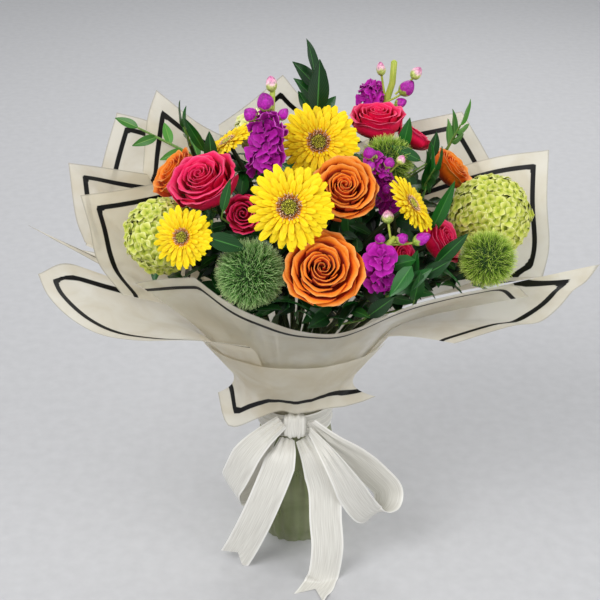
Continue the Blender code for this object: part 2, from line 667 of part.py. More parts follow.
def stem_ends():
    """Where each stem meets its bloom or sprig, and the way it points there."""
    ends = []
    for _, _, middle, radius, lean, side in ROSES:
        ends.append((Vector(middle), facing(lean, side), ROSE_DEPTH * radius))
    for _, middle, _, lean, side in GERBERAS:
        ends.append((Vector(middle), facing(lean, side), GERBERA_DEPTH))
    for _, _, middle, radius, lean, side, _ in HYDRANGEAS:
        ends.append((Vector(middle), facing(lean, side), CALYX_REACH * radius))
    for _, middle, radius, lean, side, _ in GREEN_BALLS:
        ends.append((Vector(middle), facing(lean, side), CALYX_REACH * radius))
    for _, foot, top, floret_radius, _ in STOCKS:
        axis = (Vector(top) - Vector(foot)).normalized()
        ends.append((Vector(foot), axis, STOCK_FOOT * floret_radius))
    for _, _, root, tip, _, _, _ in SPRIGS:
        ends.append((Vector(root), (Vector(tip) - Vector(root)).normalized(), 0.0))
    return [(spot - way * (depth + GAP), way) for spot, way, depth in ends]


def bezier(points, t):
    a, b, c, d = points
    s = 1 - t
    return a * s ** 3 + b * 3 * s * s * t + c * 3 * s * t * t + d * t ** 3


def stems():
    """Every stem, gathered at the tie and spread again below it."""
    ends = stem_ends()
    order = sorted(ends, key=lambda end: end[0].xy.length)
    plug = bmesh.new()
    bmesh.ops.create_cone(
        plug, cap_ends=True, segments=ROUND_COLUMNS, radius1=BUNDLE_RADIUS, radius2=BUNDLE_RADIUS,
        depth=TIE_WIDTH, matrix=Matrix.Translation((0, 0, TIE_HEIGHT)),
    )
    turn = math.radians(FOOT_TWIST)
    repeats = []
    for ring, angle, (end, way) in stem_slots(order):
        slot = Vector((ring * math.cos(angle), ring * math.sin(angle), TIE_HEIGHT))
        foot_ring = ring * FOOT_SPREAD
        foot = Vector((foot_ring * math.cos(angle + turn), foot_ring * math.sin(angle + turn), 0))
        reach = (end - slot).length
        lead = end - way * 0.30 * reach
        rise = slot + Vector((slot.x * 0.6, slot.y * 0.6, 0.42 * reach))
        points = [foot, slot]
        points += [bezier((slot, rise, lead, end), t) for t in (0.3, 0.62, 1.0)]
        radii = [STEM_RADIUS] * (len(points) - 1) + [0.8 * STEM_RADIUS]
        tube = tube_mesh("stems", points, radii, STEM_SIDES, Vector((0, 0, 1)), way)
        repeats.append((tube, Matrix.Identity(4)))
    finish_object("stems", fuse("stems", mesh_from_bmesh("stems", plug), repeats), STEM)


def stem_slots(order):
    """Give each stem the free slot in the bundle that lies nearest to its own side."""
    golden = math.pi * (3 - math.sqrt(5))
    slots = [(STEM_SPACING * math.sqrt(i), golden * i) for i in range(len(order))]
    free = list(slots[1:])
    chosen = [(slots[0], order[0])]
    for end in reversed(order[1:]):
        side = math.atan2(end[0].y, end[0].x)
        best = max(free, key=lambda slot: slot[0] * math.cos(slot[1] - side))
        free.remove(best)
        chosen.append((best, end))
    return [(ring, angle, end) for (ring, angle), end in chosen]


def ring_solid(name, profile, wall, columns, colour, roughness=0.5):
    """A turned wall open at both ends: its profile lists height and outer radius."""
    vertices = []
    outline = [(z, r) for z, r in profile] + [(z, r - wall) for z, r in reversed(profile)]
    for z, r in outline:
        for c in range(columns):
            angle = 2 * math.pi * c / columns
            vertices.append((r * math.cos(angle), r * math.sin(angle), z))
    faces = []
    count = len(outline)
    for k in range(count):
        nk = (k + 1) % count
        for c in range(columns):
            n = (c + 1) % columns
            faces.append((k * columns + c, k * columns + n, nk * columns + n, nk * columns + c))
    return finish_object(name, mesh_from(name, vertices, faces), colour, roughness)


def grid_solid(name, points, thickness, colour, roughness=0.4):
    """A thin closed sheet on both sides of a grid of points."""
    points = np.array(points, dtype=float)
    rows, columns, _ = points.shape
    normals = np.cross(np.gradient(points, axis=0), np.gradient(points, axis=1))
    normals /= np.linalg.norm(normals, axis=2, keepdims=True)
    top = (points + normals * thickness / 2).reshape(-1, 3)
    low = (points - normals * thickness / 2).reshape(-1, 3)
    under = rows * columns
    faces = []
    for r in range(rows - 1):
        for c in range(columns - 1):
            a, b = r * columns + c, r * columns + c + 1
            d, e = a + columns, b + columns
            faces += [(a, b, e), (a, e, d)]
            faces += [(under + a, under + e, under + b), (under + a, under + d, under + e)]
    edge = [c for c in range(columns)] + [r * columns + columns - 1 for r in range(1, rows)]
    edge += [(rows - 1) * columns + c for c in range(columns - 2, -1, -1)]
    edge += [r * columns for r in range(rows - 2, 0, -1)]
    for i, a in enumerate(edge):
        b = edge[(i + 1) % len(edge)]
        faces.append((a, b, under + b, under + a))
    vertices = np.concatenate((top, low))
    return finish_object(name, mesh_from(name, vertices, faces), colour, roughness)


def cone_radius(height, layer):
    """Radius of a film layer at a height between the neck and the shoulder."""
    neck = INNER_LAYER_RADIUS + layer * NECK_STEP
    shoulder = SHOULDER_RADIUS + layer * SHOULDER_STEP
    share = max(0.0, (height - NECK_TOP) / (SHOULDER_HEIGHT - NECK_TOP))
    return neck + share * (shoulder - neck)


def sheet(name, layer, rim):
    """A film sheet from the neck, up the cone and out to its free edge."""
    shoulder = np.array((cone_radius(SHOULDER_HEIGHT, layer), SHOULDER_HEIGHT))
    slope = np.array((SHOULDER_RADIUS - INNER_LAYER_RADIUS, SHOULDER_HEIGHT - NECK_TOP))
    lead = shoulder + slope / np.linalg.norm(slope) * SHOULDER_LEAD
    rows = []
    for x, y, z in rim:
        edge = np.array((math.hypot(x, y), z))
        profile = [(cone_radius(NECK_LOW, layer), NECK_LOW), (cone_radius(NECK_TOP, layer), NECK_TOP)]
        profile.append(tuple(shoulder))
        for t in (0.5, 1.0):
            profile.append(tuple((1 - t) ** 2 * shoulder + 2 * t * (1 - t) * lead + t * t * edge))
        way = np.array((x, y)) / edge[0]
        rows.append([(r * way[0], r * way[1], height) for r, height in profile])
    grid_solid(name, rows, FILM, FROSTED, 0.35)


def collar():
    """The folded-down film round the lower cone, its lower corners standing off the neck."""
    rows = []
    for side, radius, height in COLLAR_EDGE:
        angle = math.radians(side)
        profile = [(radius, height)]
        profile.append((cone_radius(COLLAR_MIDDLE, COLLAR_LAYER), COLLAR_MIDDLE))
        profile.append((cone_radius(COLLAR_TOP, COLLAR_LAYER), COLLAR_TOP))
        rows.append([(r * math.cos(angle), r * math.sin(angle), z) for r, z in profile])
    grid_solid("film_collar", rows, FILM, FROSTED, 0.35)


def smooth_line(places, steps):
    """Points and directions read from a smooth curve through the given places."""
    values = np.array([list(p) + list(w) for p, w in places], dtype=float)
    padded = np.vstack((2 * values[0] - values[1], values, 2 * values[-1] - values[-2]))
    result = []
    for i in range(len(values) - 1):
        a, b, c, d = padded[i:i + 4]
        for k in range(steps):
            t = k / steps
            result.append(0.5 * (2 * b + (c - a) * t + (2 * a - 5 * b + 4 * c - d) * t * t
                                 + (3 * b - a - 3 * c + d) * t ** 3))
    result.append(values[-1])
    return [(row[:3], row[3:] / np.linalg.norm(row[3:])) for row in result]


def ribbon(name, places, steps, width=RIBBON, notch=0.0, lowest=None):
    """A length of ribbon; a notch forks its end."""
    rows = []
    line = smooth_line(places, steps)
    for i, (point, across) in enumerate(line):
        along = line[min(i + 1, len(line) - 1)][0] - line[max(i - 1, 0)][0]
        along /= np.linalg.norm(along)
        across = across - along * np.dot(across, along)
        across /= np.linalg.norm(across)
        share = min(1.0, 0.45 + 2.2 * min(i, len(line) - 1 if notch else len(line) - 1 - i) / len(line))
        middle = point - along * (notch if i == len(line) - 1 else 0.0)
        row = [point - across * width / 2 * share, middle, point + across * width / 2 * share]
        if lowest is not None:
            row = [np.array((p[0], p[1], max(p[2], lowest))) for p in row]
        rows.append(row)
    grid_solid(name, rows, RIBBON_THICKNESS, IVORY, 0.3)


def knot():
    shape = bmesh.new()
    bmesh.ops.create_cube(shape, size=1.0)
    bmesh.ops.scale(shape, vec=KNOT_SIZE, verts=shape.verts)
    bmesh.ops.bevel(shape, geom=shape.edges, offset=KNOT_ROUND, segments=1, affect="EDGES", profile=0.5)
    part = finish_object("ribbon_knot", mesh_from_bmesh("ribbon_knot", shape), IVORY, 0.3)
    part.location = KNOT_MIDDLE
    part.rotation_euler = (math.radians(KNOT_LEAN), 0, 0)


clear_scene()
BOUQUET = bpy.data.objects.new("bouquet", None)
bpy.context.scene.collection.objects.link(BOUQUET)

for name, colour, middle, radius, lean, side in ROSES:
    place(finish_object(name, rose_mesh(name, radius), colour), middle, facing(lean, side), 7)
for bloom in GERBERAS:
    gerbera(*bloom)
for bloom in HYDRANGEAS:
    hydrangea(*bloom)
for bloom in GREEN_BALLS:
    green_ball(*bloom)
for bloom in STOCKS:
    stock(*bloom)
for shoot in STOCK_SHOOTS:
    stock_shoot(*shoot)
for spray in SPRIGS:
    sprig(*spray)
stems()
ring_solid("tie", (
    (TIE_HEIGHT - TIE_WIDTH / 2, BUNDLE_RADIUS + GAP + TIE_WALL),
    (TIE_HEIGHT + TIE_WIDTH / 2, BUNDLE_RADIUS + GAP + TIE_WALL),
), TIE_WALL, ROUND_COLUMNS, TWINE, 0.9)
for name, layer, rim in SHEETS:
    sheet(name, layer, rim)
collar()
ring_solid("film_sleeve", SLEEVE, FILM, ROUND_COLUMNS, FROSTED, 0.35)
ring_solid("ribbon_band", (
    (BAND_LOW, BAND_RADIUS + RIBBON_THICKNESS), (BAND_HIGH, BAND_RADIUS + RIBBON_THICKNESS),
), RIBBON_THICKNESS, ROUND_COLUMNS, IVORY, 0.3)
knot()
ribbon("ribbon_loop_left", LOOP_LEFT, 2)
ribbon("ribbon_loop_right", LOOP_RIGHT, 2)
ribbon("ribbon_tail_left", TAIL_LEFT, 2, notch=NOTCH, lowest=RIBBON_THICKNESS / 2)
ribbon("ribbon_tail_right", TAIL_RIGHT, 2, notch=NOTCH, lowest=RIBBON_THICKNESS / 2)
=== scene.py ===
# %% [markdown]
# # A hand-tied bouquet in frosted film
#
# A florist holds the stems in one hand, lays bloom after bloom round the first, ties the bundle at
# its waist and wraps it in film. This script dresses a plain model of such a bouquet. Each step says
# what the real piece is, how it could be made and why this way was chosen. All lengths are in metres.

# %% Load the plain model
import math
import random

import bmesh
import bpy
import numpy as np
from mathutils import Matrix, Vector
from mathutils.bvhtree import BVHTree


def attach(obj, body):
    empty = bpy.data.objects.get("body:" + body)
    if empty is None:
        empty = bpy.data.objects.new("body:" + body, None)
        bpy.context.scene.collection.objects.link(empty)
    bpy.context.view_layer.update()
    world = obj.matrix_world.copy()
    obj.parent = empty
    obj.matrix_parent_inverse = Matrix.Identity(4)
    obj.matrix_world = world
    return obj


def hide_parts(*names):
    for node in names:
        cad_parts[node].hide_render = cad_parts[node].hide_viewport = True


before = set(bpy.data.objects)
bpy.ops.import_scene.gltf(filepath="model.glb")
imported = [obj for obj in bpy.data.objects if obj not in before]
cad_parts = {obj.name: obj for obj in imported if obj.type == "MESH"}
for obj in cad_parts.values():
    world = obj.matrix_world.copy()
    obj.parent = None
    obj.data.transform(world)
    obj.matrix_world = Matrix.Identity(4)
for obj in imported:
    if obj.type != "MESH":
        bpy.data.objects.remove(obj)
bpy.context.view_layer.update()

# %% [markdown]
# ## Small helpers
#
# Colours are picked as sRGB hex values, the way a paint chart gives them, but shaders add up light,
# so they need linear numbers. One function turns one into the other. One more adds any node to any
# tree, with its settings, values and links, so that a tree reads as a short list.

# %% Colours and nodes
def linear(code):
    """Linear red, green, blue and alpha of an sRGB hex colour."""
    parts = [int(code[i:i + 2], 16) / 255 for i in (1, 3, 5)]
    return (*[p / 12.92 if p <= 0.04045 else ((p + 0.055) / 1.055) ** 2.4 for p in parts], 1.0)


def add(tree, kind, inputs=None, **settings):
    """Add a node; each input is given a plain value or another node's output."""
    made = tree.nodes.new(kind)
    for name, value in settings.items():
        setattr(made, name, value)
    for key, value in (inputs or {}).items():
        if isinstance(value, bpy.types.NodeSocket):
            tree.links.new(value, made.inputs[key])
        else:
            made.inputs[key].default_value = value
    return made


def new_material(name, roughness, ior=1.45):
    """A material with its tree and its Principled shader."""
    material = bpy.data.materials.new(name)
    material.use_nodes = True
    tree = material.node_tree
    surface = tree.nodes["Principled BSDF"]
    surface.inputs["Roughness"].default_value = roughness
    surface.inputs["IOR"].default_value = ior
    return material, tree, surface


def ramp(tree, factor, stops):
    """A colour ramp through stops of position and hex colour."""
    made = add(tree, "ShaderNodeValToRGB", {"Fac": factor})
    line = made.color_ramp.elements
    line[0].position, line[0].color = stops[0][0], linear(stops[0][1])
    line[1].position, line[1].color = stops[-1][0], linear(stops[-1][1])
    for position, code in stops[1:-1]:
        line.new(position).color = linear(code)
    return made.outputs["Color"]


print("orange as linear numbers:", [round(v, 3) for v in linear("#f08030")])

# %% [markdown]
# Petals, leaves, film and ribbon are all thin sheets. Each is laid out as a grid of points, and one
# function gives every grid two faces and a closed rim, so that the sheet is a thin solid. Numbers
# such as the way along a petal travel with the points as attributes, and the materials read them.

# %% Thin solids from grids
def unit(vectors):
    length = np.linalg.norm(vectors, axis=-1, keepdims=True)
    return vectors / np.maximum(length, 1e-12)


def solid_sheets(name, grids, thickness, loop=False, **shades):
    """One mesh of thin closed sheets. grids is (count, rows, columns, 3); a shade has no last axis."""
    grids = np.asarray(grids, dtype=float)
    count, rows, columns, _ = grids.shape
    down = np.gradient(grids, axis=1)
    if loop:
        across = (np.roll(grids, -1, axis=2) - np.roll(grids, 1, axis=2)) / 2
    else:
        across = np.gradient(grids, axis=2)
    lift = unit(np.cross(down, across)) * thickness / 2
    points = np.concatenate(((grids + lift).reshape(count, -1, 3), (grids - lift).reshape(count, -1, 3)), 1)
    index = np.arange(rows * columns).reshape(rows, columns)
    right = np.roll(index, -1, axis=1) if loop else index[:, 1:]
    left = index if loop else index[:, :-1]
    a, b, d, e = left[:-1].ravel(), right[:-1].ravel(), left[1:].ravel(), right[1:].ravel()
    under = rows * columns
    faces = [np.stack((a, d, e, b), 1), np.stack((a, b, e, d), 1) + under]
    if loop:
        edges = [(right[0], left[0]), (left[-1], right[-1])]
    else:
        edge = np.concatenate((index[:, 0], index[-1, 1:], index[::-1, -1][1:], index[0, ::-1][1:]))
        edges = [(edge[:-1], edge[1:])]
    for p, q in edges:
        faces.append(np.stack((q, p, p + under, q + under), 1))
    faces = np.concatenate(faces)
    faces = (faces[None] + (np.arange(count) * 2 * under)[:, None, None]).reshape(-1, 4)
    mesh = bpy.data.meshes.new(name)
    mesh.from_pydata(points.reshape(-1, 3), [], faces.tolist())
    for key, values in shades.items():
        values = np.broadcast_to(values, (count, rows, columns)).reshape(count, -1)
        layer = mesh.attributes.new(key, "FLOAT", "POINT")
        layer.data.foreach_set("value", np.concatenate((values, values), 1).astype(np.float32).ravel())
    mesh.shade_smooth()
    return mesh


def merged(name, meshes):
    """Several meshes in one, with their attributes."""
    shape = bmesh.new()
    for mesh in meshes:
        shape.from_mesh(mesh)
    whole = bpy.data.meshes.new(name)
    shape.to_mesh(whole)
    shape.free()
    return whole


def finish_piece(name, mesh, material, slot, *nodes):
    """Show a mesh as a piece of the bouquet, in place of plain nodes where it stands for any."""
    mesh.materials.clear()
    mesh.materials.append(material)
    mesh.shade_smooth()
    mesh.set_sharp_from_angle(angle=math.radians(60))
    piece = bpy.data.objects.new(name, mesh)
    bpy.context.scene.collection.objects.link(piece)
    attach(piece, "root")
    if nodes:
        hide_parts(*nodes)
    TRIANGLES[name] = sum(len(face.vertices) - 2 for face in mesh.polygons)
    return piece


TRIANGLES = {}
print("helpers ready")

# %% [markdown]
# A bloom is made facing up, with its middle at the origin, and then turned to face the way that it
# faces in the bouquet: so far from upright, towards a side, where 0 is the front and 90 the right.

# %% Directions
def facing(lean, side):
    lean, side = math.radians(lean), math.radians(side)
    return Vector((math.sin(lean) * math.sin(side), -math.sin(lean) * math.cos(side), math.cos(lean)))


def aim(axis, up=Vector((0, 0, 1))):
    """Rotation whose Z is the axis and whose Y is as near to up as it can be."""
    z = Vector(axis).normalized()
    x = up.cross(z)
    if x.length < 1e-4:
        x = Vector((1, 0, 0))
    x.normalize()
    y = z.cross(x)
    return Matrix((x, y, z)).transposed().to_4x4()


def placed(middle, axis, spin=0.0):
    return Matrix.Translation(middle) @ aim(axis) @ Matrix.Rotation(math.radians(spin), 4, "Z")


def moved(points, matrix):
    """Points of a grid, moved by a matrix."""
    matrix = np.array(matrix)
    return points @ matrix[:3, :3].T + matrix[:3, 3]


def fibonacci(count):
    """Directions spread evenly over a ball, each a golden angle on from the last."""
    i = np.arange(count)
    z = 1 - (2 * i + 1) / count
    turn = math.pi * (3 - math.sqrt(5)) * i
    wide = np.sqrt(1 - z * z)
    return np.stack((wide * np.cos(turn), wide * np.sin(turn), z), 1)


print("straight ahead is", [round(v, 2) for v in facing(90, 0)])

# %% [markdown]
# ## Materials of the blooms
#
# A petal is a thin film of cells over colourless tissue: it scatters light softly, shows faint veins
# from root to tip, and is a little paler along its rim. The colour follows the way along the petal,
# a random tone sets each petal apart, and fine streaks stand for the veins.

# %% Petals
def petal_material(name, stops, streak, roughness=0.55, sheen=0.25, spread=0.22, fine=26.0):
    """Colour along the petal, streaked across it, with a tone for each petal."""
    material, tree, surface = new_material(name, roughness, 1.40)
    along = add(tree, "ShaderNodeAttribute", attribute_name="along").outputs["Fac"]
    across = add(tree, "ShaderNodeAttribute", attribute_name="across").outputs["Fac"]
    tone = add(tree, "ShaderNodeAttribute", attribute_name="tone").outputs["Fac"]
    colour = ramp(tree, along, stops)
    # The streaks run along the petal: the noise is fine across it and coarse along it
    side = add(tree, "ShaderNodeMath", {0: across, 1: fine}, operation="MULTIPLY").outputs[0]
    way = add(tree, "ShaderNodeMath", {0: along, 1: 2.5}, operation="MULTIPLY").outputs[0]
    shift = add(tree, "ShaderNodeMath", {0: tone, 1: 37.0}, operation="MULTIPLY").outputs[0]
    spot = add(tree, "ShaderNodeCombineXYZ", {"X": side, "Y": way, "Z": shift}).outputs[0]
    veins = add(tree, "ShaderNodeTexNoise", {"Vector": spot, "Scale": 0.45, "Detail": 2.0}).outputs["Fac"]
    veined = add(tree, "ShaderNodeMapRange", {"Value": veins, "From Min": 0.38, "From Max": 0.66}).outputs[0]
    amount = add(tree, "ShaderNodeMath", {0: veined, 1: spread}, operation="MULTIPLY").outputs[0]
    streaked = add(tree, "ShaderNodeMix", {"Factor": amount, 6: colour, 7: linear(streak)}, data_type="RGBA")
    bright = add(tree, "ShaderNodeMapRange", {"Value": tone, "To Min": 0.86, "To Max": 1.10}).outputs[0]
    toned = add(tree, "ShaderNodeHueSaturation", {"Value": bright, "Color": streaked.outputs[2]})
    tree.links.new(toned.outputs[0], surface.inputs["Base Color"])
    bump = add(tree, "ShaderNodeBump", {"Height": veins, "Strength": 0.22, "Distance": 0.0006})
    tree.links.new(bump.outputs[0], surface.inputs["Normal"])
    surface.inputs["Sheen Weight"].default_value = sheen
    surface.inputs["Sheen Roughness"].default_value = 0.5
    surface.inputs["Specular IOR Level"].default_value = 0.28
    return material


# Rose petals are velvety: warm orange, red towards the root, partly painted shade for the crowded heart, and
# peach along the rim
ORANGE_PETAL = petal_material("orange_rose_petal", (
    (0.0, "#a02404"), (0.40, "#dc4a06"), (0.70, "#ff7a0e"), (0.90, "#ff962a"), (1.0, "#ffb868")),
    "#e85408", 0.55, 0.08)
# The cerise rose is darker at its root, partly painted shade for the crowded heart, and cooler along its rim
PINK_PETAL = petal_material("cerise_rose_petal", (
    (0.0, "#7c0018"), (0.40, "#c40028"), (0.70, "#ee0a4c"), (0.90, "#f82468"), (1.0, "#ff7098")),
    "#c00030", 0.5, 0.08)
# Gerbera rays are smoother, clear yellow, and orange where they meet the eye
GERBERA_PETAL = petal_material("gerbera_ray_petal", (
    (0.0, "#ee8400"), (0.22, "#fbac04"), (0.45, "#ffd200"), (1.0, "#ffea1c")), "#f4b000", 0.5, 0.05, 0.35, 9.0)
# Lime hydrangea florets are nearly white at the rim and green at the heart
LIME_FLORET = petal_material("lime_hydrangea_floret", (
    (0.0, "#7c961e"), (0.28, "#c2cc46"), (0.70, "#dfe274"), (1.0, "#f2f2a6")), "#bcc84c", 0.6, 0.1)
PALE_FLORET = petal_material("pale_hydrangea_floret", (
    (0.0, "#a8b450"), (0.28, "#dce08a"), (0.70, "#f0f0ac"), (1.0, "#fafad0")), "#d0d878", 0.6, 0.1)
# Stock is crumpled and magenta-purple, and almost white in the throat
STOCK_PETAL = petal_material("purple_stock_petal", (
    (0.0, "#f4d8f0"), (0.10, "#d060c4"), (0.24, "#ba0aa4"), (0.70, "#a80494"), (0.94, "#c41cb4"),
    (1.0, "#e880dc")), "#7c0470", 0.5, 0.1)
print("petal materials:", [m.name for m in bpy.data.materials if "petal" in m.name or "floret" in m.name])

# %% [markdown]
# Leaves have a wax skin, so they shine more than petals. A pale midrib runs along the middle, side
# veins leave it at an angle, and each leaf has a tone of its own. Stalks and stems are ribbed and
# yellow-green. The spiky heads of green dianthus are all bracts: dark at the root, fresh at the tip.

# %% Leaves, stems and green heads
def leaf_material(name, dark, light, rib, roughness):
    material, tree, surface = new_material(name, roughness, 1.45)
    along = add(tree, "ShaderNodeAttribute", attribute_name="along").outputs["Fac"]
    across = add(tree, "ShaderNodeAttribute", attribute_name="across").outputs["Fac"]
    tone = add(tree, "ShaderNodeAttribute", attribute_name="tone").outputs["Fac"]
    side = add(tree, "ShaderNodeMath", {0: across}, operation="ABSOLUTE").outputs[0]
    colour = ramp(tree, tone, ((0.0, dark), (1.0, light)))
    # Side veins slant from the rib to the tip, about one every 3 mm of a 40 mm leaf
    slant = add(tree, "ShaderNodeMath", {0: side, 1: -0.35, 2: along}, operation="MULTIPLY_ADD").outputs[0]
    beat = add(tree, "ShaderNodeMath", {0: slant, 1: 80.0}, operation="MULTIPLY").outputs[0]
    vein = add(tree, "ShaderNodeMath", {0: beat}, operation="SINE").outputs[0]
    thin = add(tree, "ShaderNodeMapRange", {"Value": vein, "From Min": 0.75, "From Max": 1.0}).outputs[0]
    ribbed = add(tree, "ShaderNodeMapRange", {"Value": side, "From Min": 0.10, "From Max": 0.02}).outputs[0]
    faint = add(tree, "ShaderNodeMath", {0: thin, 1: 0.22}, operation="MULTIPLY").outputs[0]
    both = add(tree, "ShaderNodeMath", {0: faint, 1: ribbed}, operation="MAXIMUM").outputs[0]
    soft = add(tree, "ShaderNodeMath", {0: both, 1: 0.75}, operation="MULTIPLY").outputs[0]
    mixed = add(tree, "ShaderNodeMix", {"Factor": soft, 6: colour, 7: linear(rib)}, data_type="RGBA")
    tree.links.new(mixed.outputs[2], surface.inputs["Base Color"])
    bump = add(tree, "ShaderNodeBump", {"Height": both, "Strength": 0.35, "Distance": 0.0005}, invert=True)
    tree.links.new(bump.outputs[0], surface.inputs["Normal"])
    return material


DARK_LEAF = leaf_material("dark_glossy_leaf", "#08300e", "#1c6420", "#4e9440", 0.28)
LIGHT_LEAF = leaf_material("ruscus_leaf", "#2c6a1e", "#4f9632", "#8cba5a", 0.36)
# Painted shade: deep between the blooms the leaves get no light, so this leaf colour is painted nearly black
PAINTED_SHADE_LEAF = leaf_material("painted_shade_filling_leaf", "#04180a", "#0f3c12", "#245c22", 0.35)


def stalk_material(name, dark, light, roughness=0.5, shaded_from=None):
    """Fine ribs along an upright stalk, about 1 mm apart, and painted shade that darkens it over 90 mm above
    shaded_from.
    """
    material, tree, surface = new_material(name, roughness)
    spot = add(tree, "ShaderNodeTexCoord").outputs["Object"]
    stretched = add(tree, "ShaderNodeMapping", {"Vector": spot, "Scale": (1.0, 1.0, 0.08)}).outputs[0]
    noise = add(tree, "ShaderNodeTexNoise", {"Vector": stretched, "Scale": 900.0, "Detail": 3.0}).outputs["Fac"]
    colour = ramp(tree, noise, ((0.3, dark), (0.7, light)))
    if shaded_from:
        # Painted shade: from the given height up, the stem colour runs to near black, for the shade among the
        # blooms and leaves
        height = add(tree, "ShaderNodeSeparateXYZ", {"Vector": spot}).outputs["Z"]
        shade = add(tree, "ShaderNodeMapRange", {
            "Value": height, "From Min": shaded_from, "From Max": shaded_from + 0.09, "To Max": 0.9}).outputs[0]
        colour = add(tree, "ShaderNodeMix", {
            "Factor": shade, 6: colour, 7: linear("#081606")}, data_type="RGBA").outputs[2]
    tree.links.new(colour, surface.inputs["Base Color"])
    bump = add(tree, "ShaderNodeBump", {"Height": noise, "Strength": 0.3, "Distance": 0.0003})
    tree.links.new(bump.outputs[0], surface.inputs["Normal"])
    return material


GREEN_STEM = stalk_material("green_stalk", "#4c7428", "#86a850")
# The flower stems carry painted shade: they darken to near black over 90 mm from 0.20 m up
SHADE_PAINTED_FLOWER_STEM = stalk_material("flower_stem", "#4c7428", "#86a850", shaded_from=0.20)
STOCK_STALK = stalk_material("stock_stalk", "#9cb436", "#c8d060")
HEAD_CORE = stalk_material("green_heart_of_a_head", "#16300e", "#2c4c18", 0.8)
LIME_CORE = stalk_material("lime_heart_of_a_head", "#5c7420", "#84983a", 0.8)


def bract_material(name, root, middle, tip):
    """Green dianthus bracts: the way along each hair sets its green, and its tone a lighter tip."""
    material, tree, surface = new_material(name, 0.6)
    along = add(tree, "ShaderNodeAttribute", attribute_name="along").outputs["Fac"]
    tone = add(tree, "ShaderNodeAttribute", attribute_name="tone").outputs["Fac"]
    colour = ramp(tree, along, ((0.0, root), (0.45, middle), (1.0, tip)))
    bright = add(tree, "ShaderNodeMapRange", {"Value": tone, "To Min": 0.60, "To Max": 1.35}).outputs[0]
    toned = add(tree, "ShaderNodeHueSaturation", {"Value": bright, "Color": colour})
    tree.links.new(toned.outputs[0], surface.inputs["Base Color"])
    return material


# The front head is a cooler green with silvery tips, and the other two are fresher
COOL_BRACT = bract_material("grey_green_dianthus_bract", "#1e4416", "#6cac4a", "#d2eaa8")
FRESH_BRACT = bract_material("fresh_green_dianthus_bract", "#3c5c10", "#8cb428", "#dcea7c")
print("green materials:", GREEN_STEM.name, COOL_BRACT.name, DARK_LEAF.name)

# %% [markdown]
# ## Two trees of geometry nodes
#
# Florets, bracts, stamens and buds repeat by the hundred. The first tree sets a small repeat on
# each point of a cloud, along an axis that the point carries, with a random lean, turn, size and
# tone. The second sets petals round a ring, which is how a gerbera is built. Both end by turning
# the instances into real mesh with its material, and the result is kept as a plain mesh.

# %% The trees
def add_sockets(tree, sockets):
    """Named inputs with their kinds and defaults, between a geometry input and output."""
    tree.interface.new_socket("Geometry", in_out="OUTPUT", socket_type="NodeSocketGeometry")
    tree.interface.new_socket("Geometry", in_out="INPUT", socket_type="NodeSocketGeometry")
    for name, kind, value in sockets:
        socket = tree.interface.new_socket(name, in_out="INPUT", socket_type="NodeSocket" + kind)
        if value is not None:
            socket.default_value = value


def end_tree(tree, start, placed_repeats):
    """Give each repeat its tone, make it real mesh and set its material."""
    tone = add(tree, "FunctionNodeRandomValue", {"Seed": start.outputs["Seed"]}, data_type="FLOAT")
    kept = add(tree, "GeometryNodeStoreNamedAttribute", {
        "Geometry": placed_repeats, "Name": "tone", "Value": tone.outputs["Value"]},
        data_type="FLOAT", domain="INSTANCE")
    real = add(tree, "GeometryNodeRealizeInstances", {"Geometry": kept.outputs[0]})
    done = add(tree, "GeometryNodeSetMaterial", {
        "Geometry": real.outputs[0], "Material": start.outputs["Material"]})
    add(tree, "NodeGroupOutput", {"Geometry": done.outputs[0]})


def random_between(tree, start, base, part, **inputs):
    """A random number that keeps within a part of a base value."""
    most = add(tree, "ShaderNodeMath", {0: base, 1: part, 2: base}, operation="MULTIPLY_ADD").outputs[0]
    twice = add(tree, "ShaderNodeMath", {0: base, 1: 2.0}, operation="MULTIPLY").outputs[0]
    least = add(tree, "ShaderNodeMath", {0: twice, 1: most}, operation="SUBTRACT").outputs[0]
    return add(tree, "FunctionNodeRandomValue", {
        "Min": least, "Max": most, "Seed": start.outputs["Seed"]}, data_type="FLOAT").outputs["Value"]


def points_tree():
    tree = bpy.data.node_groups.new("repeats_on_points", "GeometryNodeTree")
    add_sockets(tree, (
        ("Repeat", "Object", None), ("Material", "Material", None), ("Size", "Float", 1.0),
        ("Size variation", "Float", 0.1), ("Lean", "Float", 0.2), ("Turn", "Float", math.tau),
        ("Seed", "Int", 1)))
    start = add(tree, "NodeGroupInput")
    axis = add(tree, "GeometryNodeInputNamedAttribute", {"Name": "axis"}, data_type="FLOAT_VECTOR")
    upright = add(tree, "FunctionNodeAlignRotationToVector", {"Vector": axis.outputs["Attribute"]}, axis="Z")
    back = add(tree, "ShaderNodeMath", {0: start.outputs["Lean"], 1: -1.0}, operation="MULTIPLY").outputs[0]
    low = add(tree, "ShaderNodeCombineXYZ", {"X": back, "Y": back, "Z": 0.0}).outputs[0]
    lean = start.outputs["Lean"]
    high = add(tree, "ShaderNodeCombineXYZ", {"X": lean, "Y": lean, "Z": start.outputs["Turn"]}).outputs[0]
    sway = add(tree, "FunctionNodeRandomValue", {
        "Min": low, "Max": high, "Seed": start.outputs["Seed"]}, data_type="FLOAT_VECTOR")
    swayed = add(tree, "FunctionNodeEulerToRotation", {"Euler": sway.outputs["Value"]})
    turned = add(tree, "FunctionNodeRotateRotation", {
        "Rotation": upright.outputs[0], "Rotate By": swayed.outputs[0]}, rotation_space="LOCAL")
    size = random_between(tree, start, start.outputs["Size"], start.outputs["Size variation"])
    repeat = add(tree, "GeometryNodeObjectInfo", {"Object": start.outputs["Repeat"]})
    repeats = add(tree, "GeometryNodeInstanceOnPoints", {
        "Points": start.outputs["Geometry"], "Instance": repeat.outputs["Geometry"],
        "Rotation": turned.outputs[0], "Scale": size})
    end_tree(tree, start, repeats.outputs[0])
    return tree


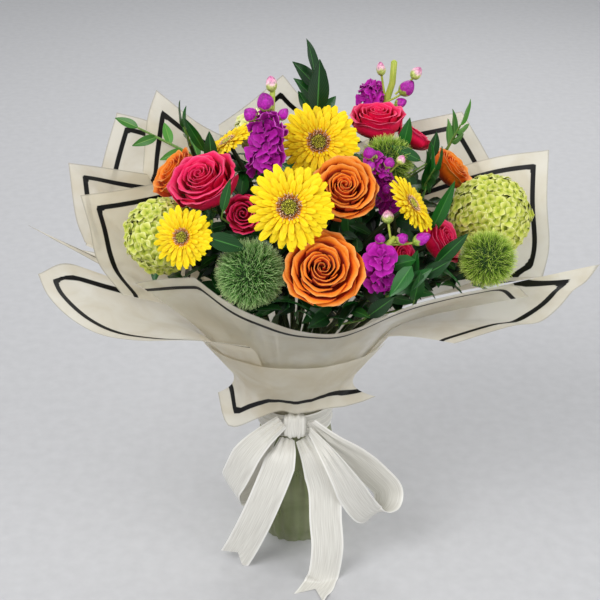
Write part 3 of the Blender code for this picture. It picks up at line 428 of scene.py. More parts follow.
def ring_tree():
    tree = bpy.data.node_groups.new("petals_in_a_ring", "GeometryNodeTree")
    add_sockets(tree, (
        ("Petal", "Object", None), ("Material", "Material", None), ("Count", "Int", 20),
        ("Root radius", "Float", 0.01), ("Height", "Float", 0.0), ("Rise", "Float", 0.1),
        ("Rise variation", "Float", 0.05), ("Size", "Float", 1.0), ("Size variation", "Float", 0.05),
        ("Start", "Float", 0.0), ("Seed", "Int", 1)))
    start = add(tree, "NodeGroupInput")
    ring = add(tree, "GeometryNodeMeshCircle", {
        "Vertices": start.outputs["Count"], "Radius": start.outputs["Root radius"]})
    number = add(tree, "GeometryNodeInputIndex").outputs[0]
    step = add(tree, "ShaderNodeMath", {0: math.tau, 1: start.outputs["Count"]}, operation="DIVIDE").outputs[0]
    turn = add(tree, "ShaderNodeMath", {0: number, 1: step}, operation="MULTIPLY").outputs[0]
    heading = add(tree, "ShaderNodeCombineXYZ", {"Z": turn}).outputs[0]
    facing_out = add(tree, "FunctionNodeEulerToRotation", {"Euler": heading})
    change = start.outputs["Rise variation"]
    less = add(tree, "ShaderNodeMath", {0: change, 1: -1.0}, operation="MULTIPLY").outputs[0]
    jitter = add(tree, "FunctionNodeRandomValue", {
        "Min": less, "Max": change, "Seed": start.outputs["Seed"]}, data_type="FLOAT").outputs["Value"]
    rise = add(tree, "ShaderNodeMath", {0: start.outputs["Rise"], 1: jitter}, operation="ADD").outputs[0]
    up = add(tree, "ShaderNodeMath", {0: rise, 1: -1.0}, operation="MULTIPLY").outputs[0]
    twist = add(tree, "ShaderNodeMath", {0: jitter, 1: 1.5}, operation="MULTIPLY").outputs[0]
    tilt = add(tree, "FunctionNodeEulerToRotation", {
        "Euler": add(tree, "ShaderNodeCombineXYZ", {"X": twist, "Y": up}).outputs[0]})
    turned = add(tree, "FunctionNodeRotateRotation", {
        "Rotation": facing_out.outputs[0], "Rotate By": tilt.outputs[0]}, rotation_space="LOCAL")
    size = random_between(tree, start, start.outputs["Size"], start.outputs["Size variation"])
    petal = add(tree, "GeometryNodeObjectInfo", {"Object": start.outputs["Petal"]})
    repeats = add(tree, "GeometryNodeInstanceOnPoints", {
        "Points": ring.outputs["Mesh"], "Instance": petal.outputs["Geometry"],
        "Rotation": turned.outputs[0], "Scale": size})
    lifted = add(tree, "GeometryNodeTransform", {
        "Geometry": repeats.outputs[0],
        "Translation": add(tree, "ShaderNodeCombineXYZ", {"Z": start.outputs["Height"]}).outputs[0],
        "Rotation": add(tree, "ShaderNodeCombineXYZ", {"Z": start.outputs["Start"]}).outputs[0]})
    end_tree(tree, start, lifted.outputs[0])
    return tree


POINTS_TREE, RING_TREE = points_tree(), ring_tree()


def grown(tree, base, inputs):
    """The plain mesh that a tree makes of a base mesh and its inputs."""
    holder = bpy.data.objects.new("holder", base)
    bpy.context.scene.collection.objects.link(holder)
    growth = holder.modifiers.new("growth", "NODES")
    growth.node_group = tree
    for item in tree.interface.items_tree:
        if item.in_out == "INPUT" and item.name in inputs:
            growth[item.identifier] = inputs[item.name]
    bpy.context.view_layer.update()
    depsgraph = bpy.context.evaluated_depsgraph_get()
    evaluated = holder.evaluated_get(depsgraph)
    mesh = bpy.data.meshes.new_from_object(evaluated, preserve_all_data_layers=True, depsgraph=depsgraph)
    holder.modifiers.remove(growth)
    bpy.data.objects.remove(holder, do_unlink=True)
    return mesh


def seed_object(name, mesh):
    """An object for a tree to repeat. It is never linked to the scene, so it never shows."""
    return bpy.data.objects.new(name, mesh)


def on_points(name, places, axes, repeat, material, **inputs):
    cloud = bpy.data.meshes.new(name)
    cloud.from_pydata([tuple(p) for p in places], [], [])
    layer = cloud.attributes.new("axis", "FLOAT_VECTOR", "POINT")
    layer.data.foreach_set("vector", np.asarray(axes, dtype=np.float32).ravel())
    named = {key.replace("_", " ").capitalize(): value for key, value in inputs.items()}
    return grown(POINTS_TREE, cloud, {"Repeat": repeat, "Material": material, **named})


print("trees:", POINTS_TREE.name, "and", RING_TREE.name)

# %% [markdown]
# ## Roses
#
# A rose is a spiral: each petal stands a golden angle on from the last, a little further out and a
# little more open. The inner petals wrap the heart like a scroll, and the outer ones fall back with
# curled rims. One petal is a grid whose shape follows its share of the way out, so that one
# function makes all of them, and no two are alike.

# %% Rose petals
# Name, colour, middle, radius, lean from upright and the side it leans to
ROSES = (
    ("rose_orange_front", "orange", (0.028, -0.150, 0.420), 0.046, 52, 5),
    ("rose_orange_centre", "orange", (0.051, -0.088, 0.484), 0.041, 46, 8),
    ("rose_orange_left", "orange", (-0.130, -0.006, 0.470), 0.034, 48, -75),
    ("rose_orange_right", "orange", (0.176, 0.034, 0.460), 0.030, 45, 80),
    ("rose_pink_left", "pink", (-0.095, -0.070, 0.484), 0.043, 30, -40),
    ("rose_pink_centre", "pink", (-0.052, -0.092, 0.458), 0.024, 60, -15),
    ("rose_pink_top", "pink", (0.092, 0.038, 0.516), 0.037, 6, 20),
    ("rose_pink_right", "pink", (0.156, -0.075, 0.421), 0.031, 55, 65),
    ("rose_pink_low", "pink", (0.112, -0.088, 0.410), 0.021, 60, 45),
    ("rose_pink_back", "pink", (0.137, 0.060, 0.488), 0.024, 35, 110),
)
PETAL_THICKNESS = 0.0004
ROSE_ROOT = (0.12, -0.47)
CUP_SHARE = 0.70
# A petal's share of the way out, then what changes with it, in radii and radians
PETAL_SHARES = (0.0, 0.15, 0.35, 0.55, 0.78, 1.0)
LIP_REACH = (0.05, 0.13, 0.29, 0.46, 0.66, 0.82)
CREST_HEIGHT = (0.42, 0.42, 0.40, 0.36, 0.28, 0.14)
RIM_LENGTH = (0.03, 0.05, 0.09, 0.15, 0.22, 0.26)
RIM_TURN = (0.3, 0.7, 1.3, 1.9, 2.1, 1.9)
HALF_WIDTH = (1.9, 1.7, 1.35, 1.15, 0.98, 0.90)
SPIRAL = (0.60, 0.35, 0.18, 0.10, 0.06, 0.05)


def rose_petal(share, rng, rows=15, columns=13):
    """One petal, in radii: a cup that ends in a lip, and a rim that rolls back over the lip."""
    t = np.linspace(0, 1, rows)[:, None]
    s = np.linspace(-1, 1, columns)[None, :]
    shape = (LIP_REACH, CREST_HEIGHT, RIM_LENGTH, RIM_TURN, HALF_WIDTH, SPIRAL)
    reach, crest, rim, turn, wide, spiral = (float(np.interp(share, PETAL_SHARES, row)) for row in shape)
    reach, rim = reach * rng.uniform(0.95, 1.05), rim * rng.uniform(0.85, 1.2)
    turn *= rng.uniform(0.80, 1.15)
    height = crest - rim / turn * math.sin(min(turn, math.pi / 2)) + rng.uniform(-0.02, 0.02)
    # The outline is round: the corners of the grid lie further down the petal than its middle
    way = t * (1 - (0.06 + 0.20 * share) * np.abs(s) ** 2.4)
    belly = max(reach * 1.05, 0.10)
    p0, p1 = np.array(ROSE_ROOT), np.array((0.12 + 0.62 * belly, -0.44 + 0.10 * share))
    p2, p3 = np.array((belly, height - 0.40 + 0.22 * share)), np.array((reach, height))
    w = np.clip(way / CUP_SHARE, 0, 1)[..., None]
    profile = p0 * (1 - w) ** 3 + 3 * p1 * w * (1 - w) ** 2 + 3 * p2 * w * w * (1 - w) + p3 * w ** 3
    # Past the lip the rim turns on an arc, less in its middle, which leaves a pointed tip
    u = np.clip((way - CUP_SHARE) / (1 - CUP_SHARE), 0, 1)
    curl = turn * (0.70 + 0.30 * np.clip(np.abs(s) / 0.55, 0, 1))
    start = math.atan2(p3[0] - p2[0], p3[1] - p2[1])
    bend = start + curl * u
    r = profile[..., 0] + rim / curl * (math.cos(start) - np.cos(bend))
    z = profile[..., 1] + rim / curl * (np.sin(bend) - math.sin(start))
    wave = rng.uniform(0, math.tau)
    z = z + 0.030 * share * np.sin(2.2 * math.pi * s + wave) * t ** 3
    r = r * (1 + spiral * s) + 0.020 * (0.2 + share) * np.sin(3.1 * math.pi * s + wave) * t ** 4
    spread = wide * (0.34 + 0.66 * np.sin(np.clip(way / 0.62, 0, 1) * math.pi / 2))
    angle = s * spread * (1 - 0.22 * share * u)
    return np.stack((r * np.cos(angle), r * np.sin(angle), z), -1), way * (0.94 + 0.06 * share), s + 0 * way


def rose(name, radius, matrix, count):
    rng = random.Random(len(name) * 7 + count)
    grids, along, across, tone = [], [], [], []
    for i in range(count):
        share = (i / (count - 1)) ** 0.80
        grid, way, side = rose_petal(share, rng)
        turn = Matrix.Rotation(i * math.pi * (3 - math.sqrt(5)) + rng.uniform(-0.15, 0.15), 4, "Z")
        nod = Matrix.Rotation(rng.uniform(-0.05, 0.09) * share, 4, "Y")
        grids.append(moved(grid, matrix @ Matrix.Scale(radius, 4) @ turn @ nod))
        along.append(way)
        across.append(side)
        tone.append(np.full_like(way, rng.random()))
    return solid_sheets(name, grids, PETAL_THICKNESS, along=along, across=across, tone=tone)


for name, colour, middle, radius, lean, side in ROSES:
    count = 27 if radius > 0.038 else 22 if radius > 0.029 else 17
    mesh = rose(name, radius, placed(middle, facing(lean, side), 7), count)
    material = ORANGE_PETAL if colour == "orange" else PINK_PETAL
    finish_piece(name + "_petals", mesh, material, colour + "_rose_petal", name)
print("roses:", sum(v for k, v in TRIANGLES.items() if k.startswith("rose")), "triangles")

# %% [markdown]
# ## Gerberas
#
# A gerbera is a flat head of many flowers. The rays are long straps in two full rings, shorter rays
# stand over them, and the eye is packed with small tube flowers: buds in the middle, and a ring of
# open ones with pale stamens round it. The ring tree sets the rays, and the points tree sets the eye.

# %% Gerbera rays and eyes
GERBERAS = (
    ("front", (-0.005, -0.143, 0.487), 0.043, 62, -3),
    ("top", (0.026, -0.028, 0.516), 0.042, 58, 0),
    ("left", (-0.117, -0.122, 0.445), 0.032, 60, -20),
    ("right", (0.124, -0.098, 0.473), 0.033, 50, 75),
    ("back", (-0.074, 0.004, 0.506), 0.032, 30, -90),
)
EYE_SHARE = 0.29
# Rings of rays: count, length, root radius, height and rise in radii and radians
RAY_RINGS = (
    (24, 0.82, 0.18, -0.085, 0.03),
    (23, 0.78, 0.18, -0.070, 0.10),
    (21, 0.60, 0.19, -0.055, 0.20),
    (20, 0.42, 0.21, -0.042, 0.32),
    (28, 0.19, 0.25, -0.030, 0.62),
)


def ray_grid(width, rows=9, columns=5):
    """A strap petal along +X of length 1, with two grooves and a blunt tip that bends back."""
    t = np.linspace(0, 1, rows)[:, None]
    s = np.linspace(-1, 1, columns)[None, :]
    half = width / 2 * (0.36 + 0.64 * np.sin(np.clip(t / 0.62, 0, 1) * math.pi / 2))
    half = half * np.sqrt(np.clip(1 - ((t - 0.62) / 0.395) ** 4 * (t > 0.62), 0.02, 1))
    z = 0.026 * np.cos(2 * math.pi * s) * (1 - t) ** 0.3 - 0.05 * s * s * t + 0.06 * t - 0.11 * t ** 3
    x = t + 0 * s
    return np.stack((x, half * s, z * np.ones_like(x)), -1)[None], t + 0 * s, s + 0 * t


def turned_mesh(name, profile, sides=32):
    """A closed shape turned round the Z axis from (radius, height) pairs, top first."""
    points, faces = [], []
    for radius, height in profile:
        for k in range(sides):
            angle = math.tau * k / sides
            points.append((radius * math.cos(angle), radius * math.sin(angle), height))
    last = len(profile) - 1
    faces += [tuple(range(sides)), tuple(reversed(range(last * sides, (last + 1) * sides)))]
    for i in range(last):
        for k in range(sides):
            a, n = i * sides, (k + 1) % sides
            faces.append((a + k, a + sides + k, a + sides + n, a + n))
    mesh = bpy.data.meshes.new(name)
    mesh.from_pydata(points, [], faces)
    return mesh


def gerbera(side, middle, radius, lean, heading):
    name = "gerbera_" + side
    matrix = placed(middle, facing(lean, heading), 4)
    rays = []
    for number, (count, length, root, height, rise) in enumerate(RAY_RINGS):
        grid, along, across = ray_grid((0.24, 0.24, 0.26, 0.28, 0.34)[number])
        petal = seed_object("ray", solid_sheets("ray", grid, 0.012, along=along, across=across))
        ring = grown(RING_TREE, bpy.data.meshes.new("ring"), {
            "Petal": petal, "Material": GERBERA_PETAL, "Count": count, "Root radius": root, "Height": height,
            "Rise": rise, "Rise variation": 0.06, "Size": length, "Size variation": 0.09,
            "Start": 0.13 * number, "Seed": number + 3})
        rays.append(ring)
    mesh = merged(name, rays)
    mesh.transform(matrix @ Matrix.Scale(radius, 4))
    finish_piece(name + "_rays", mesh, GERBERA_PETAL, "gerbera_petal", name)

    # The florets stand on a domed base, which is a green cup seen from behind
    base = turned_mesh(name, [(r * radius, z * radius) for r, z in BASE_PROFILE])
    base.transform(matrix)
    finish_piece(name + "_base", base, EYE_BASE, "gerbera_eye")

    spots, axes, ages = [], [], []
    golden = math.pi * (3 - math.sqrt(5))
    for i in range(EYE_FLORETS):
        out = math.sqrt((i + 0.5) / EYE_FLORETS)
        r = EYE_SHARE * radius * out
        dome = 0.0030 * (1 - 0.6 * out ** 3) * radius / 0.043
        spots.append(Vector((r * math.cos(golden * i), r * math.sin(golden * i), dome - 0.0024)))
        axes.append(Vector((0.7 * out * math.cos(golden * i), 0.7 * out * math.sin(golden * i), 1)))
        ages.append(out)
    places = [matrix @ s for s in spots]
    ways = [(matrix.to_3x3() @ a).normalized() for a in axes]
    budding = [i for i, age in enumerate(ages) if age < 0.56]
    open_ones = [i for i, age in enumerate(ages) if age >= 0.56]
    buds = on_points(name, [places[i] for i in budding], [ways[i] for i in budding], EYE_BUD, EYE_GREEN,
                     size=radius / 0.043, size_variation=0.15, lean=0.15, seed=2)
    finish_piece(name + "_eye_buds", buds, EYE_GREEN, "gerbera_eye", "gerbera_eye_" + side)
    stamens = on_points(name, [places[i] for i in open_ones], [ways[i] for i in open_ones], STAMEN,
                        STAMEN_TIP, size=radius / 0.043, size_variation=0.30, lean=0.40, seed=5)
    finish_piece(name + "_eye_stamens", stamens, STAMEN_TIP, "gerbera_eye")


def spike_mesh(name, length, root, tip, sides=4, rows=4, bend=0.0, bulge=0.0):
    """A closed spike along +Z, bent to +X, that may swell half-way."""
    points, along = [], []
    for row in range(rows):
        t = row / (rows - 1)
        r = root + (tip - root) * t + bulge * math.sin(math.pi * t)
        for k in range(sides):
            angle = math.tau * k / sides
            points.append((r * math.cos(angle) + bend * t * t, r * math.sin(angle), length * t))
            along.append(t)
    faces = [tuple(reversed(range(sides))), tuple(range((rows - 1) * sides, rows * sides))]
    for row in range(rows - 1):
        for k in range(sides):
            n = (k + 1) % sides
            a = row * sides
            faces.append((a + k, a + n, a + sides + n, a + sides + k))
    mesh = bpy.data.meshes.new(name)
    mesh.from_pydata(points, [], faces)
    mesh.attributes.new("along", "FLOAT", "POINT").data.foreach_set("value", along)
    return mesh


def eye_material(name, low, high):
    """Tube flowers of the eye: their own length runs from one colour to the other."""
    material, tree, surface = new_material(name, 0.6)
    along = add(tree, "ShaderNodeAttribute", attribute_name="along").outputs["Fac"]
    tone = add(tree, "ShaderNodeAttribute", attribute_name="tone").outputs["Fac"]
    bright = add(tree, "ShaderNodeMapRange", {"Value": tone, "To Min": 0.6, "To Max": 1.35}).outputs[0]
    colour = ramp(tree, along, ((0.25, low), (0.85, high)))
    toned = add(tree, "ShaderNodeHueSaturation", {"Value": bright, "Color": colour})
    tree.links.new(toned.outputs[0], surface.inputs["Base Color"])
    return material


EYE_FLORETS = 210
BASE_PROFILE = ((0.10, -0.028), (0.20, -0.034), (0.27, -0.052), (0.29, -0.080), (0.26, -0.115),
                (0.18, -0.145), (0.09, -0.160))
EYE_GREEN = eye_material("gerbera_eye_bud", "#7c7a14", "#d8d44c")
STAMEN_TIP = eye_material("gerbera_stamen", "#6a3410", "#f4d4b4")
EYE_BASE = stalk_material("gerbera_flower_base", "#5c4c10", "#84782a", 0.7)
EYE_BUD = seed_object("eye_bud", spike_mesh("eye_bud", 0.0022, 0.0006, 0.0003, 5, 4, 0, 0.0003))
STAMEN = seed_object("stamen", spike_mesh("stamen", 0.0034, 0.00036, 0.00026, 4, 4, 0.0004, 0.0001))
for bloom in GERBERAS:
    gerbera(*bloom)
print("gerberas:", sum(v for k, v in TRIANGLES.items() if k.startswith("gerbera")), "triangles")

# %% [markdown]
# ## Round heads
#
# A hydrangea head is a ball of four-petalled florets that face outwards and overlap. A head of green
# dianthus has no petals at all: its ball is all thin bracts, like moss. Both are a core with
# hundreds of repeats, spread by the golden angle, which leaves no seam and no pole.

# %% Hydrangea heads and green dianthus
HYDRANGEAS = (
    ("hydrangea_right", LIME_FLORET, (0.217, -0.022, 0.428), 0.046, 50, 78),
    ("hydrangea_left", LIME_FLORET, (-0.142, -0.072, 0.425), 0.041, 50, -64),
    ("hydrangea_back", PALE_FLORET, (-0.042, 0.046, 0.502), 0.025, 30, -140),
)
GREEN_HEADS = (
    ("green_dianthus_front", COOL_BRACT, (-0.046, -0.118, 0.401), 0.037, 58, -20),
    ("green_dianthus_right", FRESH_BRACT, (0.204, -0.108, 0.414), 0.031, 55, 65),
    ("green_dianthus_back", FRESH_BRACT, (0.101, -0.016, 0.489), 0.0295, 40, 60),
)
FLORET_SPACING = 0.0088
FLORET_REACH = 0.0074
BRACT_SPACING = 0.0022
CALYX_REACH = 1.14


def floret_mesh(rows=4, columns=4):
    """Four round petals of reach 1, which overlap at their sides, round a small heart."""
    t = np.linspace(0, 1, rows)[:, None]
    s = np.linspace(-1, 1, columns)[None, :]
    half = 0.05 + 0.53 * np.sin(math.pi * (0.05 + 0.84 * t)) ** 0.7
    x = 0.04 + 0.96 * t - 0.16 * s ** 2 * t
    z = 0.26 * t - 0.34 * t ** 3 + 0.16 * s ** 2 * t
    grid = np.stack((x, half * s, z + 0 * x), -1)
    grids = []
    for k in range(4):
        tilt = Matrix.Rotation(0.10 if k % 2 else -0.06, 4, "Y")
        grids.append(moved(grid, Matrix.Rotation(k * math.tau / 4, 4, "Z") @ tilt))
    return solid_sheets("floret", grids, 0.05, along=t + 0 * s, across=s + 0 * t)


def core_piece(name, middle, axis, radius, material, slot, *nodes):
    """The ball that the repeats of a head stand out of, and the stub that meets its stem."""
    shape = bmesh.new()
    bmesh.ops.create_icosphere(shape, subdivisions=3, radius=radius)
    low, high = -CALYX_REACH / 0.84 * radius, -0.6 * radius
    bmesh.ops.create_cone(shape, cap_ends=True, segments=12, radius1=0.0032, radius2=0.0058,
                          depth=high - low, matrix=Matrix.Translation((0, 0, (low + high) / 2)))
    mesh = bpy.data.meshes.new(name)
    shape.to_mesh(mesh)
    shape.free()
    mesh.transform(placed(middle, axis))
    return finish_piece(name, mesh, material, slot, *nodes)


FLORET = seed_object("floret", floret_mesh())
BRACT = seed_object("bract", spike_mesh("bract", 1.0, 0.034, 0.009, 3, 3, 0.26))
for name, material, middle, radius, lean, side in HYDRANGEAS:
    axis = facing(lean, side)
    count = int(4 * math.pi * radius ** 2 / FLORET_SPACING ** 2)
    ways = fibonacci(count)
    rng = np.random.default_rng(count)
    # The head is made of bunches, so its surface is lumpy
    lumps = sum(np.cos(ways @ rng.normal(size=3) * 4.5 + rng.uniform(0, 6)) for _ in range(4)) / 4
    depth = (0.92 + 0.05 * lumps + rng.uniform(-0.03, 0.03, count))[:, None]
    places = ways * depth * radius + np.array(middle)
    florets = on_points(name, places, ways, FLORET, material,
                        size=FLORET_REACH, size_variation=0.16, lean=0.42, seed=4)
    finish_piece(name + "_florets", florets, material, "hydrangea_floret", name)
    core_piece(name + "_heart", middle, axis, 0.82 * radius, LIME_CORE, "hydrangea_floret")
for name, material, middle, radius, lean, side in GREEN_HEADS:
    axis = facing(lean, side)
    count = int(4 * math.pi * radius ** 2 / BRACT_SPACING ** 2)
    ways = fibonacci(count)
    places = ways * 0.72 * radius + np.array(middle)
    bracts = on_points(name, places, ways, BRACT, material,
                       size=0.29 * radius, size_variation=0.22, lean=0.50, seed=6)
    finish_piece(name + "_bracts", bracts, material, "green_dianthus", name)
    core_piece(name + "_heart", middle, axis, 0.74 * radius, HEAD_CORE, "green_dianthus")
print("round heads:", {k: v for k, v in TRIANGLES.items() if "florets" in k or "bracts" in k})

# %% [markdown]
# ## Stock
#
# Double stock carries rosettes of ruffled petals up a thick stalk, youngest at the top, and ends in
# closed buds. One rosette is three whorls of wavy petals; the points tree sets it up the stalk in
# the same spiral that the plain model has. The petals are velvety magenta-purple with a pale throat.

# %% Stock rosettes
# Name, foot and top of the flowering stretch, radius of a rosette and number of rosettes
STOCKS = (
    ("stock_left", (-0.030, -0.064, 0.500), (-0.027, -0.060, 0.545), 0.015, 9),
    ("stock_top", (0.090, 0.093, 0.512), (0.088, 0.092, 0.536), 0.012, 5),
    ("stock_centre", (0.104, -0.058, 0.450), (0.087, -0.058, 0.506), 0.010, 11),
    ("stock_right", (0.086, -0.124, 0.392), (0.090, -0.138, 0.430), 0.013, 8),
)


def ruffled_rosette():
    """Broad wavy petals in three whorls round a pale throat, for a rosette of radius 1."""
    rng = random.Random(8)
    t = np.linspace(0, 1, 7)[:, None]
    s = np.linspace(-1, 1, 9)[None, :]
    grids, along = [], []
    for whorl, (count, reach, rise) in enumerate(((4, 1.06, 0.10), (4, 0.82, 0.46), (3, 0.46, 0.60))):
        for k in range(count):
            # A heart-shaped petal: its tip is notched and its sides reach almost as far
            way = t * (1 - 0.18 * np.abs(s) ** 3 - 0.07 * (1 - np.abs(s)) ** 3)
            wave = rng.uniform(0, math.tau)
            r = 0.04 + reach * (way ** 1.15)
            ruffle = 0.13 * np.sin(4.2 * s + wave) + 0.06 * np.sin(9.0 * s + 2 * wave)
            z = rise * way ** 0.8 - 0.20 * way ** 3 + ruffle * way ** 2
            angle = s * (0.30 + 0.50 * way) + math.tau * (k + 0.33 * whorl) / count + rng.uniform(-0.1, 0.1)
            grids.append(np.stack((r * np.cos(angle), r * np.sin(angle), z - 0.15 + 0 * angle), -1))
            along.append(way + 0 * s)
    across = np.broadcast_to(s + 0 * t, np.shape(along))
    return solid_sheets("rosette", grids, 0.04, along=along, across=across)


ROSETTE = seed_object("rosette", ruffled_rosette())
for name, foot, top, floret_radius, count in STOCKS:
    foot, top = Vector(foot), Vector(top)
    axis = top - foot
    frame_of_stalk = placed((foot + top) / 2, axis)
    places, ways = [], []
    for i in range(count):
        share = (i + 0.5) / count
        angle = 2.4 * i
        way = Vector((math.cos(angle), math.sin(angle), 0.25 + 0.9 * share)).normalized()
        spot = Vector((0, 0, (share - 0.5) * axis.length)) + way * floret_radius * 0.72
        places.append(frame_of_stalk @ spot)
        ways.append(frame_of_stalk.to_3x3() @ way)
    mesh = on_points(name, places, ways, ROSETTE, STOCK_PETAL,
                     size=1.22 * floret_radius, size_variation=0.16, lean=0.35, seed=9)
    finish_piece(name + "_rosettes", mesh, STOCK_PETAL, "stock_floret", name)
print("stock:", sum(v for k, v in TRIANGLES.items() if k.startswith("stock")), "triangles")

# %% [markdown]
# A tube along a curve makes every stalk. Its rings turn as little as they can from one to the next,
# so the tube never twists. A bud is a round egg: a green cup with four lobes holds petals that are
# still twisted shut. The oldest buds are purple, and the youngest are pale pink.

# %% Stalks and buds
def tube(name, points, radii, sides=8, first_way=None, last_way=None):
    """A closed tube through points, with its radius at each."""
    points = [Vector(p) for p in points]
    vertices, side = [], Vector((1, 0, 0))
    last = len(points) - 1
    for i, point in enumerate(points):
        along = (points[min(i + 1, last)] - points[max(i - 1, 0)]).normalized()
        if i == 0 and first_way:
            along = first_way
        if i == last and last_way:
            along = last_way
        side = (side - along * side.dot(along)).normalized()
        other = along.cross(side)
        for k in range(sides):
            angle = math.tau * k / sides
            vertices.append(point + (side * math.cos(angle) + other * math.sin(angle)) * radii[i])
    faces = [tuple(reversed(range(sides))), tuple(last * sides + k for k in range(sides))]
    for i in range(last):
        for k in range(sides):
            a, n = i * sides, (k + 1) % sides
            faces.append((a + k, a + n, a + sides + n, a + sides + k))
    mesh = bpy.data.meshes.new(name)
    mesh.from_pydata([tuple(v) for v in vertices], [], faces)
    return mesh


def bezier(points, t):
    a, b, c, d = points
    s = 1 - t
    return a * s ** 3 + b * 3 * s * s * t + c * 3 * s * t * t + d * t ** 3


def copies(name, mesh, turns):
    """One mesh of a shape at several places, each with a tone of its own."""
    shape = bmesh.new()
    shape.verts.layers.float.new("tone")
    for number, turn in enumerate(turns):
        before = len(shape.verts)
        shape.from_mesh(mesh)
        shape.verts.ensure_lookup_table()
        fresh = shape.verts[before:]
        bmesh.ops.transform(shape, matrix=turn, verts=fresh)
        tone = shape.verts.layers.float["tone"]
        for vertex in fresh:
            vertex[tone] = (0.37 * number + 0.2) % 1
    whole = bpy.data.meshes.new(name)
    shape.to_mesh(whole)
    shape.free()
    return whole


def bud_mesh():
    """A round bud along +Z of length 1 and width 1: a green cup, and petals twisted shut over it."""
    rows, sides = 12, 24
    points, along, faces = [], [], []
    for row in range(rows):
        t = 0.02 + 0.96 * row / (rows - 1)
        r = 0.5 * math.sin(math.pi * t ** 0.80) ** 0.62
        for k in range(sides):
            angle = math.tau * k / sides
            ridge = 1 + 0.10 * math.cos(4 * angle + 3.0 * t) * t - 0.05 * math.cos(7 * angle - 4.0 * t) * t
            points.append((r * ridge * math.cos(angle), r * ridge * math.sin(angle), t))
            # The cup's four lobes reach higher than the gaps between them
            along.append(t - 0.12 * max(0.0, math.cos(4 * angle)))
    faces += [tuple(reversed(range(sides))), tuple((rows - 1) * sides + k for k in range(sides))]
    for row in range(rows - 1):
        for k in range(sides):
            a, n = row * sides, (k + 1) % sides
            faces.append((a + k, a + n, a + sides + n, a + sides + k))
    mesh = bpy.data.meshes.new("bud")
    mesh.from_pydata(points, [], faces)
    mesh.attributes.new("along", "FLOAT", "POINT").data.foreach_set("value", along)
    return mesh


def bud_material(name, stops):
    """A bud's skin: waxy green below, and crumpled petals above, with creases 1.5 mm apart."""
    material, tree, surface = new_material(name, 0.45)
    along = add(tree, "ShaderNodeAttribute", attribute_name="along").outputs["Fac"]
    tone = add(tree, "ShaderNodeAttribute", attribute_name="tone").outputs["Fac"]
    colour = ramp(tree, along, stops)
    spot = add(tree, "ShaderNodeTexCoord").outputs["Object"]
    crumple = add(tree, "ShaderNodeTexNoise", {"Vector": spot, "Scale": 420.0, "Detail": 3.0}).outputs["Fac"]
    # Painted shade and light: the crumple noise that bumps the petals also darkens their creases and lightens
    # their ridges
    shade = add(tree, "ShaderNodeMapRange", {
        "Value": crumple, "From Min": 0.35, "From Max": 0.65, "To Min": 0.65, "To Max": 1.35}).outputs[0]
    bright = add(tree, "ShaderNodeMath", {0: tone, 1: 0.25, 2: shade}, operation="MULTIPLY_ADD").outputs[0]
    toned = add(tree, "ShaderNodeHueSaturation", {"Value": bright, "Color": colour})
    tree.links.new(toned.outputs[0], surface.inputs["Base Color"])
    bump = add(tree, "ShaderNodeBump", {"Height": crumple, "Strength": 0.5, "Distance": 0.001})
    tree.links.new(bump.outputs[0], surface.inputs["Normal"])
    return material


PURPLE_BUD = bud_material("purple_stock_bud", (
    (0.0, "#7c9c34"), (0.24, "#a4b850"), (0.33, "#a01094"), (0.75, "#ac1ca4"), (1.0, "#700a68")))
BLUSH_BUD = bud_material("blush_stock_bud", (
    (0.0, "#8aac40"), (0.40, "#c4d078"), (0.56, "#ecc4cc"), (0.85, "#e08ab4"), (1.0, "#a85088")))
BUD = bud_mesh()
